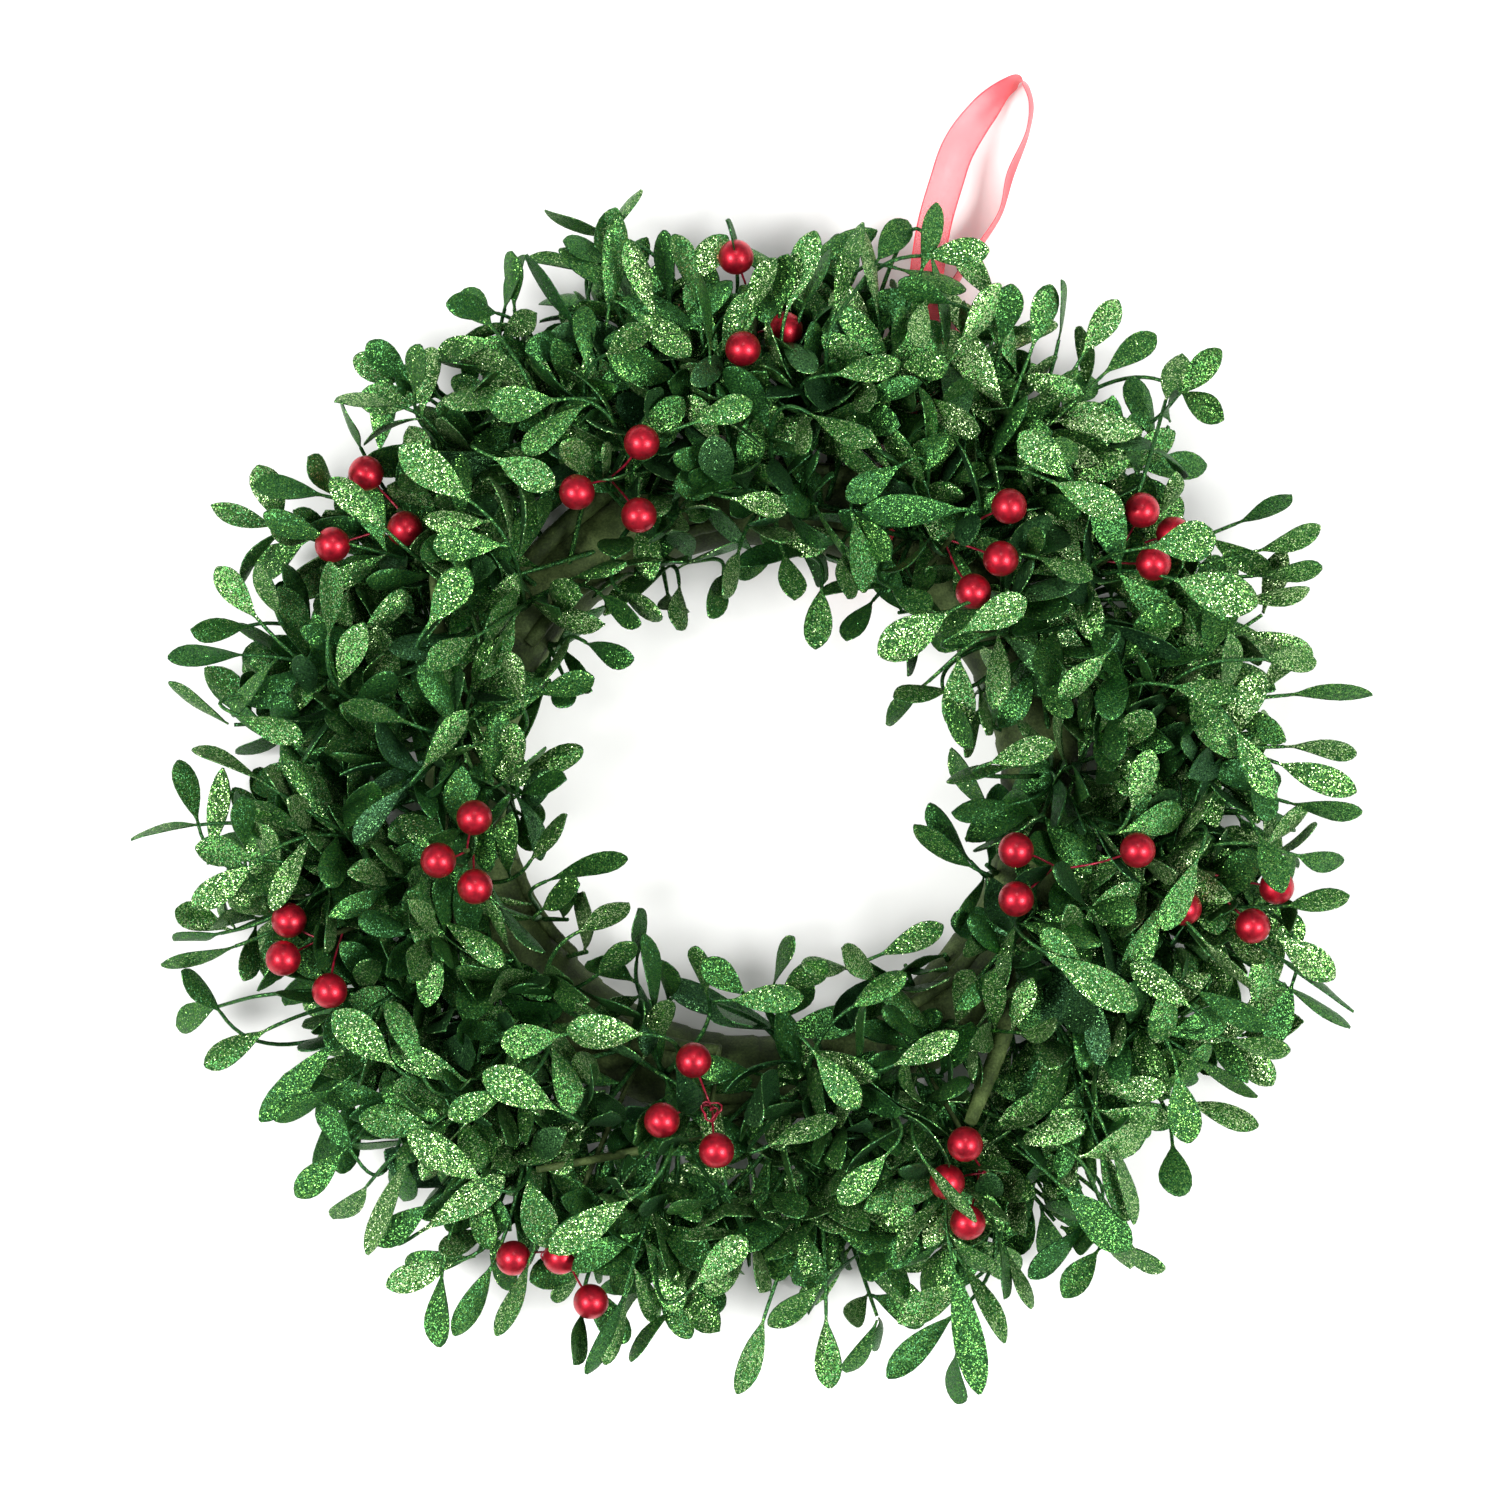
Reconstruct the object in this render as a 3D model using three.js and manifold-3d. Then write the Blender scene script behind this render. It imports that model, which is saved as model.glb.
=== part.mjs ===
// A wreath of glittered artificial boxwood with red berries and a ribbon loop, lying on its back.
// Millimetres and degrees. +Z is up out of the wreath's front, +Y is the top of the wreath as it hangs.
import * as THREE from 'three'
import { mergeVertices } from 'three/addons/utils/BufferGeometryUtils.js'
import Module from 'manifold-3d'

const wasm = await Module()
wasm.setup()

// Whole wreath: its axis is off the middle of the footprint, because the ribbon reaches past the leaves
const WREATH_AXIS = [1.5, -15]
const CLEARANCE = 0.35
const SMALLEST_EDGE = 0.06
const TOUCH_VOLUME = 1e-5
const HOLE_RADIUS = 49
const RIM_RADIUS = 181
const LOWEST_LEAF = 0.5
const HIGHEST_LEAF = 82

// Base ring: an eight-sided tube of taped wire frame, flat underneath
const RING_RADIUS = 84
const TUBE_RADIUS = 13
const TUBE_SIDES = 8
const TUBE_HEIGHT = TUBE_RADIUS * Math.cos(Math.PI / TUBE_SIDES)
const RING_STEPS = 32

// Taped stems that lie along the ring and lift off it at one end
const TAPED_STEMS = 8
const TAPED_STEM_RADIUS = 2.2
const TAPED_STEM_SWEEP = 25
const TAPED_STEM_LIFT = 7

// Leafy picks: each row round the ring, with the sprigs that every pick of the row carries
const ROWS = [
  {
    name: 'outer',
    count: 16,
    section: 24,
    first: 9,
    sprigs: [
      { yaw: 15, rise: 8, length: 71, pairs: 4 },
      { yaw: -30, rise: 38, length: 44, pairs: 2 },
    ],
  },
  {
    name: 'front',
    count: 13,
    section: 82,
    first: 3,
    sprigs: [
      { yaw: 34, rise: 50, length: 33, pairs: 3 },
      { yaw: -104, rise: 48, length: 25, pairs: 2 },
    ],
  },
  {
    name: 'inner',
    count: 11,
    section: 150,
    first: 14,
    sprigs: [{ yaw: 148, rise: 41, length: 15, pairs: 2 }],
  },
]
const YAW_SPREAD = 13
const RISE_SPREAD = 8
const LEAN_SPREAD = 34
const LENGTH_SPREAD = 0.08
const STEM_SAG = 0.0018

// A pick's leading stem stands in a plain hole in the ring, and its side sprig grows out of that stem
const STEM_DEPTH = 5
const LARGEST_HOLE = 45
const HOLE_REACH = 3.2
const SIDE_START = 4

// Where a sprig's pairs of blades begin, as a share of its length, and stop short of its end
const FIRST_PAIR = 0.24
const FIRST_PAIR_SHORT = 0.32
const LAST_PAIR_BACK = 3

// Stem and blade of a sprig
const STEM_HALF_WIDTH = 0.85
const STEM_THICKNESS = 1.5
const BLADE_THICKNESS = 0.7
const BLADE_ROOT = 2.2
const BLADE_LENGTH = 22
const BLADE_HALF_WIDTH = 5.2
const BLADE_WIDEST = 0.6
const BLADE_TIP_SHARE = 0.42
const BLADE_ARCH = 0.9
const BLADE_ANGLE = 47
// Shares of a blade's length where it leaves its stem's side, and where its neck ends
const OFF_STEM = 0.05
const PAST_NECK = 0.25
const BLADE_LIFTS = [34, 2]
const END_BLADE_LIFT = 6
// The most that a draw adds to or takes from each
const BLADE_SPREAD = { angle: 8, lift: 11, roll: 24, length: 2, halfWidth: 0.4 }

// Berries and their wires
const BERRY_RADIUS = 5.2
const BERRY_STEM_RADIUS = 0.9
const BERRY_STEM_RISE = 8
const BERRY_WIRE_RADIUS = 0.65
const BERRY_WIRE_BOW = 2.2
const BERRY_SIDES = 7
const BERRY_RINGS = 4
// The leaf tops are highest on the crown, and fall away as the square of the way to the rim or the hole
const CROWN_HEIGHT = 62
const CROWN_RADIUS = 96
const RIM_FALL = 0.0062
const HOLE_FALL = 0.006
// The clear column over a berry, with its radius as a share of the berry's
const SIGHT_SHARE = 0.75
const SIGHT_HEIGHT = 50
// Degrees round the ring from the berries to where their stem stands, in the order tried
const BERRY_TURNS = [0, 3, -3, 6, -6, 9, -9, 12, -12, 15, -15, 18, -18]
// Each pick: where its wires part, and its berries, as [across, up, above or below the leaf tops]
const BERRY_PICKS = [
  { fork: [0, 138, -14], berries: [[-5.8, 153.8, 2], [8.4, 132.9, -8], [-3.8, 126.9, -2]] },
  { fork: [-42, 90, -9], berries: [[-32.7, 99.7, 2], [-51.2, 85.5, 1], [-33.5, 78.9, 2]] },
  { fork: [-103, 81, -8], berries: [[-112.1, 91.3, 2], [-121.7, 70.8, 0], [-101, 75.5, -9]] },
  { fork: [57, 74, -8], berries: [[72.3, 81.5, 1], [69.9, 66.5, 1], [62.1, 57.2, 0]] },
  { fork: [106, 70, -9], berries: [[110.7, 80.6, 2], [120.2, 74, -6], [113.9, 65.4, 1]] },
  { fork: [-83.5, -17, -9], berries: [[-80.6, -7.5, 1], [-90.8, -19.7, 2], [-80.3, -27.2, 1]] },
  { fork: [-127, -43, -8], berries: [[-134.4, -37.2, -4], [-135.8, -48, 3], [-122.3, -57.2, 1]] },
  { fork: [-13, -91.5, -9], berries: [[-17.9, -76.9, 1], [-26.9, -93.9, 2], [-11.3, -102.6, 1]] },
  { fork: [89, -23, -8], berries: [[74.3, -16.8, 1], [109, -16.8, 2], [74.3, -30.8, 1]] },
  { fork: [132, -24, -9], berries: [[150, -27.6, 0], [142.8, -38.8, 2], [122.8, -33.5, -4]] },
  { fork: [69, -114, -9], berries: [[59.8, -100.9, 1], [54.8, -112, -3], [60.7, -123.7, 2]] },
  { fork: [-59, -135, -9], berries: [[-70, -134.7, -2], [-47.6, -147.1, 2], [-56.4, -134.4, -7]] },
]

// Ribbon: looped once round the ring, its two strands meeting in a fold on the surface the wreath lies on
const RIBBON_WIDTH = 10
const RIBBON_THICKNESS = 0.6
const RIBBON_AZIMUTH = 65
const RIBBON_STEPS = 48
// Where it wraps the tube: [from the wreath's axis, height, turn of its width from upright]
const RIBBON_WRAP = [
  [101, 22.5, 90],
  [90, 24.7, 90],
  [78, 24.8, 90],
  [71.2, 18.2, 90],
  [71.1, 7.4, 90],
  [76, 2.2, 90],
  [90, 0.9, 90],
  [101, 1.2, 84],
]
// Its free part from there: [across, up, height, turn of its width from upright]
const RIBBON_LOOP = [
  [50, 105, 4.2, 45],
  [57, 119, 5.6, 8],
  [59.4, 135, 5.6, 0],
  [57.4, 146, 5.6, 0],
  [64.5, 158, 5.6, 0],
  [71.5, 169, 5.6, 0],
  [74.4, 180, 5.6, 0],
  [79.6, 193, 5.6, 0],
  [80.4, 202, 5.6, 0],
  [77.6, 207.6, 5.6, 0],
  [73.4, 205.8, 5.8, 10],
  [66.2, 198.3, 6.4, 52],
  [59.2, 187.9, 8.2, 82],
  [55.4, 177, 11, 90],
  [52, 165, 14.5, 90],
  [49.6, 150, 18.5, 90],
  [47, 126, 22.4, 90],
]

const COLOURS = {
  leaf: new THREE.MeshStandardMaterial({ color: 0x3c7a36, roughness: 0.45, metalness: 0.35 }),
  tape: new THREE.MeshStandardMaterial({ color: 0x4a5537, roughness: 0.85, metalness: 0 }),
  berry: new THREE.MeshStandardMaterial({ color: 0xa3101f, roughness: 0.3, metalness: 0.3 }),
  ribbon: new THREE.MeshStandardMaterial({ color: 0xfb5f6c, roughness: 0.55, metalness: 0 }),
}

const vec = (x, y, z) => new THREE.Vector3(x, y, z)
const rad = THREE.MathUtils.degToRad

// Vectors and points about the wreath

function ringFrame(azimuth) {
  const a = rad(azimuth)
  return {
    out: vec(Math.cos(a), Math.sin(a), 0),
    along: vec(-Math.sin(a), Math.cos(a), 0),
    up: vec(0, 0, 1),
  }
}

function wreathPoint(across, up, height) {
  return vec(WREATH_AXIS[0] + across, WREATH_AXIS[1] + up, height)
}

// A point at a reach from the middle of the tube, turned from outward (0) by the front (90) to inward (180)
function ringPoint(azimuth, section, reach) {
  const { out } = ringFrame(azimuth)
  const from = RING_RADIUS + reach * Math.cos(rad(section))
  return wreathPoint(out.x * from, out.y * from, TUBE_HEIGHT + reach * Math.sin(rad(section)))
}

// The same draws for the same seed, each from -1 to 1
function seededDraws(seed) {
  let state = Math.imul(seed + 1, 2654435761) >>> 0
  const next = () => {
    state = (Math.imul(state, 1664525) + 1013904223) >>> 0
    return state / 2147483648 - 1
  }
  next()
  next()
  return next
}

// Solids

function solidOf(geometry) {
  const bare = geometry.index ? geometry.clone() : geometry
  bare.deleteAttribute('normal')
  bare.deleteAttribute('uv')
  const merged = mergeVertices(bare)
  const made = new wasm.Manifold(
    new wasm.Mesh({
      numProp: 3,
      vertProperties: new Float32Array(merged.attributes.position.array),
      triVerts: new Uint32Array(merged.index.array),
    }),
  )
  return made
}

// A closed sheet: each point has a top and a bottom, half its thickness to either side
function shell(points, faces, walls) {
  const places = []
  for (const { at, half } of points) {
    places.push(at.x + half.x, at.y + half.y, at.z + half.z)
    places.push(at.x - half.x, at.y - half.y, at.z - half.z)
  }
  const corners = []
  for (const [a, b, c] of faces) {
    corners.push(2 * a, 2 * b, 2 * c)
    corners.push(2 * c + 1, 2 * b + 1, 2 * a + 1)
  }
  for (const [a, b] of walls) {
    corners.push(2 * a + 1, 2 * b + 1, 2 * b)
    corners.push(2 * a + 1, 2 * b, 2 * a)
  }
  const mesh = new wasm.Mesh({
    numProp: 3,
    vertProperties: new Float32Array(places),
    triVerts: new Uint32Array(corners),
  })
  return new wasm.Manifold(mesh)
}

function tube(points, radius, sides, steps) {
  const corners = []
  for (let i = 0; i < sides; i += 1) {
    const turn = (2 * Math.PI * i) / sides
    corners.push(new THREE.Vector2(radius * Math.cos(turn), radius * Math.sin(turn)))
  }
  const extrudePath = new THREE.CatmullRomCurve3(points)
  const shape = new THREE.Shape(corners)
  return solidOf(new THREE.ExtrudeGeometry(shape, { steps, extrudePath, bevelEnabled: false }))
}

function meshOf(name, solid, material) {
  const { vertProperties, triVerts } = solid.simplify(SMALLEST_EDGE).getMesh()
  const geometry = new THREE.BufferGeometry()
  geometry.setAttribute('position', new THREE.BufferAttribute(new Float32Array(vertProperties), 3))
  geometry.setIndex(new THREE.BufferAttribute(new Uint32Array(triVerts), 1))
  const mesh = new THREE.Mesh(geometry, material)
  mesh.name = name
  return mesh
}

// What is in place so far, as simple solids that new stems and blades keep clear of

const placed = []

function place(solid, kind, owner) {
  placed.push({ solid, kind, owner, box: solid.boundingBox() })
}

function boxesMeet(a, b) {
  return [0, 1, 2].every((i) => a.min[i] < b.max[i] && b.min[i] < a.max[i])
}

function isClear(solid, ignored) {
  const box = solid.boundingBox()
  for (const other of placed) {
    if (ignored(other) || !boxesMeet(box, other.box)) continue
    const common = solid.intersect(other.solid)
    const crosses = common.volume() > TOUCH_VOLUME
    common.delete()
    if (crosses) return false
  }
  return true
}

// Base ring

function bareRing() {
  const profile = []
  for (let i = 0; i <= TUBE_SIDES; i += 1) {
    const turn = (2 * Math.PI * (i + 0.5)) / TUBE_SIDES
    profile.push(new THREE.Vector2(RING_RADIUS + TUBE_RADIUS * Math.cos(turn), TUBE_RADIUS * Math.sin(turn)))
  }
  const geometry = new THREE.LatheGeometry(profile, RING_STEPS)
  geometry.rotateX(Math.PI / 2)
  geometry.translate(WREATH_AXIS[0], WREATH_AXIS[1], TUBE_HEIGHT)
  return solidOf(geometry)
}

// A taped stem half sunk along the tube, lifting off at its far end
function tapedStemPoints(index) {
  const outside = index % 2 === 0
  const start = (360 * index) / TAPED_STEMS + 12
  const way = index % 4 < 2 ? 1 : -1
  return [0, 0.35, 0.7, 1].map((share) => {
    const reach = TUBE_RADIUS - 0.6 + TAPED_STEM_LIFT * share * share
    return ringPoint(start + way * TAPED_STEM_SWEEP * share, outside ? 53 : 116, reach)
  })
}

function tapedRing() {
  let solid = bareRing()
  for (let i = 0; i < TAPED_STEMS; i += 1) {
    solid = solid.add(tube(tapedStemPoints(i), TAPED_STEM_RADIUS, 4, 3))
  }
  return solid.subtract(ribbon(CLEARANCE))
}

// Ribbon

function ribbonRoute() {
  const { out, along } = ringFrame(RIBBON_AZIMUTH)
  const stops = RIBBON_WRAP.map(([from, height, turn]) => ({
    at: wreathPoint(out.x * from, out.y * from, height),
    turn,
  }))
  for (const [across, up, height, turn] of RIBBON_LOOP) {
    stops.push({ at: wreathPoint(across, up, height), turn })
  }
  const curve = new THREE.CatmullRomCurve3(stops.map((stop) => stop.at), true, 'centripetal')
  const turns = new THREE.CatmullRomCurve3(stops.map((stop) => vec(stop.turn, 0, 0)), true, 'catmullrom', 0.3)
  return { curve, turns, along }
}

function ribbon(grow) {
  const { curve, turns, along } = ribbonRoute()
  const points = []
  for (let i = 0; i < RIBBON_STEPS; i += 1) {
    const t = i / RIBBON_STEPS
    const ahead = curve.getTangent(t)
    const turn = rad(THREE.MathUtils.clamp(turns.getPoint(t).x, 0, 90))
    const across = vec(0, 0, Math.cos(turn)).addScaledVector(along, Math.sin(turn))
    across.addScaledVector(ahead, -across.dot(ahead)).normalize()
    const half = ahead.clone().cross(across).multiplyScalar(RIBBON_THICKNESS / 2 + grow)
    const at = curve.getPoint(t)
    points.push({ at: at.clone().addScaledVector(across, -RIBBON_WIDTH / 2 - grow), half })
    points.push({ at: at.clone().addScaledVector(across, RIBBON_WIDTH / 2 + grow), half })
  }
  const faces = []
  const walls = []
  for (let i = 0; i < RIBBON_STEPS; i += 1) {
    const [a, b] = [2 * i, 2 * i + 1]
    const [c, d] = [(2 * i + 2) % points.length, (2 * i + 3) % points.length]
    faces.push([a, c, d], [a, d, b])
    walls.push([a, c], [d, b])
  }
  return shell(points, faces, walls)
}

// Berry picks

function leafTops(across, up) {
  const off = Math.hypot(across, up) - CROWN_RADIUS
  return CROWN_HEIGHT - (off > 0 ? RIM_FALL : HOLE_FALL) * off * off
}

function berryPoint([across, up, above]) {
  return wreathPoint(across, up, leafTops(across, up) + above)
}

// The taped-in stem of a pick, from inside the ring up to where its wires part
function berryStemPoints(pick, azimuth, section) {
  const deep = ringPoint(azimuth, section, TUBE_HEIGHT - STEM_DEPTH)
  const lift = ringPoint(azimuth, section, TUBE_HEIGHT + BERRY_STEM_RISE)
  return [deep, lift, berryPoint(pick.fork)]
}

function berryPick(pick, stemPoints) {
  const [, lift, fork] = stemPoints
  let solid = tube(stemPoints, BERRY_STEM_RADIUS, 3, 3)
  pick.berries.forEach((spot, order) => {
    const centre = berryPoint(spot)
    const from = fork.clone().lerp(lift, 0.04 + 0.09 * order)
    const bow = from.clone().lerp(centre, 0.5).add(vec(0, 0, -BERRY_WIRE_BOW))
    const ball = new THREE.SphereGeometry(BERRY_RADIUS, BERRY_SIDES, BERRY_RINGS)
    ball.translate(centre.x, centre.y, centre.z)
    solid = solid.add(solidOf(ball))
    solid = solid.add(tube([from, bow, centre], BERRY_WIRE_RADIUS, 3, 2))
  })
  return solid
}

// Its stem stands beside its berries, in the first spot where it is clear of every taped stem and the ribbon
function settleBerryPick(pick) {
  const middle = THREE.MathUtils.radToDeg(Math.atan2(pick.fork[1], pick.fork[0]))
  const section = Math.hypot(pick.fork[0], pick.fork[1]) > RING_RADIUS + TUBE_RADIUS ? 53 : 116
  for (const turn of BERRY_TURNS) {
    const stemPoints = berryStemPoints(pick, middle + turn, section)
    const solid = berryPick(pick, stemPoints)
    const holed = ring.solid.subtract(tube(stemPoints, BERRY_STEM_RADIUS + 2 * CLEARANCE, 3, 3))
    const clearOfTape = holed.volume() > ring.solid.volume() - LARGEST_HOLE
    if (clearOfTape && isClear(solid, (other) => other.kind === 'sight' || other === ring)) {
      ring.solid = holed
      return solid
    }
  }
  throw new Error(`no clear spot for the stem of the berries at ${pick.fork}`)
}

// A clear column over each berry keeps leaves from standing in front of it
function sightColumn(spot) {
  const centre = berryPoint(spot)
  const radius = BERRY_RADIUS * SIGHT_SHARE
  const column = new THREE.CylinderGeometry(radius, radius, SIGHT_HEIGHT, 6)
  column.rotateX(Math.PI / 2)
  column.translate(centre.x, centre.y, centre.z + SIGHT_HEIGHT / 2)
  return solidOf(column)
}

// Sprigs

function stemAt(stem, s) {
  const down = vec(0, 0, -1)
  const at = stem.root.clone().addScaledVector(stem.heading, s).addScaledVector(down, 0.5 * STEM_SAG * s * s)
  const ahead = stem.heading.clone().addScaledVector(down, STEM_SAG * s).normalize()
  const face = stem.face.clone().addScaledVector(ahead, -stem.face.dot(ahead)).normalize()
  return { at, ahead, face, left: face.clone().cross(ahead) }
}

// The heading from a pick's azimuth, and the face that its leaves turn to the front
function makeStem(root, azimuth, yaw, rise, lean, length) {
  const { out, along, up } = ringFrame(azimuth)
  const flat = out.multiplyScalar(Math.cos(rad(yaw))).addScaledVector(along, Math.sin(rad(yaw)))
  const heading = flat.clone().multiplyScalar(Math.cos(rad(rise))).addScaledVector(up, Math.sin(rad(rise)))
  const face = up.clone().addScaledVector(heading, -up.dot(heading)).normalize()
  face.applyAxisAngle(heading, rad(lean))
  return { root, heading, face, length }
}

// The four free corners of a blade: side 1 grows to the left of the stem, -1 to the right
function bladeCorners(stem, blade, lift, roll, grow, from) {
  const { at, ahead, face, left } = stemAt(stem, blade.s)
  const out = left.clone().multiplyScalar(blade.side)
  const turn = rad(blade.angle)
  const level = ahead.clone().multiplyScalar(Math.cos(turn)).addScaledVector(out, Math.sin(turn))
  const beside = ahead.clone().multiplyScalar(Math.sin(turn)).addScaledVector(out, -Math.cos(turn))
  const raised = level.clone().multiplyScalar(Math.cos(rad(lift))).addScaledVector(face, Math.sin(rad(lift)))
  const over = face.clone().multiplyScalar(Math.cos(rad(lift))).addScaledVector(level, -Math.sin(rad(lift)))
  const across = beside.clone().multiplyScalar(Math.cos(rad(roll))).addScaledVector(over, Math.sin(rad(roll)))
  const top = over.clone().multiplyScalar(Math.cos(rad(roll))).addScaledVector(beside, -Math.sin(rad(roll)))
  const root = at.clone().addScaledVector(out, blade.angle > 0 ? STEM_HALF_WIDTH : 0)
  const half = top.clone().multiplyScalar(BLADE_THICKNESS / 2 + grow)
  const corner = (share, width, arch) => ({
    at: root
      .clone()
      .addScaledVector(raised, share * blade.length)
      .addScaledVector(across, width)
      .addScaledVector(top, arch),
    half,
  })
  const wide = blade.halfWidth + grow
  const tip = blade.halfWidth * BLADE_TIP_SHARE + grow
  const reach = 1 + grow / blade.length
  const corners = [
    corner(BLADE_WIDEST, wide * blade.side, BLADE_ARCH),
    corner(reach, tip * blade.side, -BLADE_ARCH),
    corner(reach, -tip * blade.side, -BLADE_ARCH),
    corner(BLADE_WIDEST, -wide * blade.side, BLADE_ARCH),
  ]
  const neck = BLADE_ROOT / 2
  const nearRoot = [corner(from, neck * blade.side, 0), corner(from, -neck * blade.side, 0)]
  return { corners, nearRoot }
}

// The blade by itself from a share of its length, for keeping it clear of what is in place
function bladeSolid(stem, blade, lift, roll, grow, from = OFF_STEM) {
  const { corners, nearRoot } = bladeCorners(stem, blade, lift, roll, grow, from)
  const points = [nearRoot[0], ...corners, nearRoot[1]]
  const faces = [[0, 1, 4], [0, 4, 5], [1, 2, 3], [1, 3, 4]]
  const walls = [[0, 1], [1, 2], [2, 3], [3, 4], [4, 5], [5, 0]]
  return { solid: shell(points, faces, walls), corners }
}

function stemSides(stem, s, grow) {
  const { at, face, left } = stemAt(stem, s)
  const half = face.clone().multiplyScalar(STEM_THICKNESS / 2 + grow)
  return {
    left: { at: at.clone().addScaledVector(left, STEM_HALF_WIDTH + grow), half },
    right: { at: at.clone().addScaledVector(left, -STEM_HALF_WIDTH - grow), half },
  }
}

function stemPiece(stem, from, to, grow) {
  const [a, b] = [stemSides(stem, from, grow), stemSides(stem, to, grow)]
  const points = [a.right, b.right, b.left, a.left]
  return shell(points, [[0, 1, 2], [0, 2, 3]], [[0, 1], [1, 2], [2, 3], [3, 0]])
}

// Where the blades of a sprig sit, in opposite pairs with one at the end
function bladePlan(stem, sprig, draw) {
  const first = sprig.length * (sprig.pairs > 2 ? FIRST_PAIR : FIRST_PAIR_SHORT)
  const blades = []
  for (let pair = 0; pair < sprig.pairs; pair += 1) {
    const s = first + ((stem.length - LAST_PAIR_BACK - first) * pair) / Math.max(1, sprig.pairs - 1)
    for (const side of [1, -1]) {
      const raised = pair % 2 === (side > 0 ? 0 : 1)
      blades.push({
        pair,
        side,
        s,
        angle: BLADE_ANGLE + BLADE_SPREAD.angle * draw(),
        lift: BLADE_LIFTS[raised ? 0 : 1] + BLADE_SPREAD.lift * draw(),
        roll: BLADE_SPREAD.roll * draw(),
        length: BLADE_LENGTH + BLADE_SPREAD.length * draw(),
        halfWidth: BLADE_HALF_WIDTH + BLADE_SPREAD.halfWidth * draw(),
      })
    }
  }
  blades.push({
    pair: sprig.pairs,
    side: 1,
    s: stem.length,
    angle: 0,
    lift: END_BLADE_LIFT + BLADE_SPREAD.lift * draw(),
    roll: BLADE_SPREAD.roll * draw(),
    length: BLADE_LENGTH + BLADE_SPREAD.length * draw(),
    halfWidth: BLADE_HALF_WIDTH + BLADE_SPREAD.halfWidth * draw(),
  })
  return blades
}

// Ways of bending a blade out of another's path: more lift and more roll, least first
const STEEPEST_LIFT = 60
const BLADE_BENDS = [[0, 0], [16, 0], [-16, 0], [30, 10], [-26, -12], [0, 32], [0, -32], [36, 18]]
const STEM_BENDS = [[0, 0], [8, 4], [-8, 4], [15, 0], [-15, 8], [22, 8], [-22, 10], [4, 15]]

function withinBounds(corners) {
  return corners.every(({ at }) => {
    const from = Math.hypot(at.x - WREATH_AXIS[0], at.y - WREATH_AXIS[1])
    return from > HOLE_RADIUS && from < RIM_RADIUS && at.z > LOWEST_LEAF && at.z < HIGHEST_LEAF
  })
}

function stemThirds(stem) {
  const third = stem.length / 3
  return [0, 1, 2].map((part) => stemPiece(stem, part * third, (part + 1) * third, 0))
}

function misses(solid, others) {
  const box = solid.boundingBox()
  return others.every((other) => {
    if (!boxesMeet(box, other.boundingBox())) return true
    return solid.intersect(other).volume() < TOUCH_VOLUME
  })
}

// Blades of one sprig with the bends that keep them clear; a blade with no clear bend is left out
function settleBlades(stem, blades) {
  const settled = []
  const mates = []
  const ownStem = stemThirds(stem)
  for (const blade of blades) {
    for (const [lift, roll] of BLADE_BENDS) {
      const [up, twist] = [Math.min(blade.lift + lift, STEEPEST_LIFT), blade.roll + roll]
      const wide = bladeSolid(stem, blade, up, twist, CLEARANCE)
      const bare = bladeSolid(stem, blade, up, twist, 0)
      if (
        withinBounds(wide.corners) &&
        misses(wide.solid, mates) &&
        misses(bladeSolid(stem, blade, up, twist, 0, PAST_NECK).solid, ownStem) &&
        isClear(wide.solid, () => false)
      ) {
        mates.push(bare.solid)
        settled.push({ ...blade, corners: bare.corners, bare: bare.solid })
        break
      }
    }
  }
  return settled
}

// The stem, in pieces from where it leaves the ring, against everything but its own pick
function stemIsClear(stem, owner) {
  const stops = [-STEM_DEPTH, HOLE_REACH * 0.8]
  for (let i = 1; i <= 4; i += 1) stops.push(stops[1] + ((stem.length - stops[1]) * i) / 4)
  for (let i = 0; i + 1 < stops.length; i += 1) {
    const piece = stemPiece(stem, stops[i], stops[i + 1], CLEARANCE)
    const atHole = (other) => i === 0 && other === ring
    const clear = isClear(piece, (other) => other.kind === 'sight' || other.owner === owner || atHole(other))
    piece.delete()
    if (!clear) return false
  }
  return true
}

// The whole sprig as one closed sheet: the stem's two edges, with each blade grown out of one of them
function sprigSolid(stem, settled, start) {
  const rows = [{ s: start }]
  const pairs = [...new Set(settled.filter((blade) => blade.angle > 0).map((blade) => blade.pair))]
  for (const pair of pairs) {
    const mates = settled.filter((blade) => blade.pair === pair)
    rows.push({ s: mates[0].s - BLADE_ROOT / 2, mates })
    rows.push({ s: mates[0].s + BLADE_ROOT / 2 })
  }
  rows.push({ s: stem.length })
  const points = []
  for (const row of rows) {
    const { left, right } = stemSides(stem, row.s, 0)
    row.left = points.push(left) - 1
    row.right = points.push(right) - 1
  }
  const faces = []
  const walls = [[rows[0].left, rows[0].right]]
  const grow = (from, corners, to) => {
    const [a, b, c, d] = corners.map((corner) => points.push(corner) - 1)
    faces.push([from, a, d], [from, d, to], [a, b, c], [a, c, d])
    walls.push([from, a], [a, b], [b, c], [c, d], [d, to])
  }
  for (let i = 0; i + 1 < rows.length; i += 1) {
    const [low, high] = [rows[i], rows[i + 1]]
    faces.push([low.right, high.right, high.left], [low.right, high.left, low.left])
    const mateOn = (side) => (low.mates ?? []).find((blade) => blade.side === side)
    if (mateOn(-1)) grow(low.right, mateOn(-1).corners, high.right)
    else walls.push([low.right, high.right])
    if (mateOn(1)) grow(high.left, mateOn(1).corners, low.left)
    else walls.push([high.left, low.left])
  }
  const end = rows[rows.length - 1]
  const last = settled.find((blade) => blade.angle === 0)
  if (last) grow(end.right, last.corners, end.left)
  else walls.push([end.right, end.left])
  return shell(points, faces, walls)
}

function pickAzimuth(row, index) {
  return row.first + (360 * index) / row.count
}

function pickName(row, index) {
  return `${row.name}_pick_${index + 1}`
}

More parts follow.
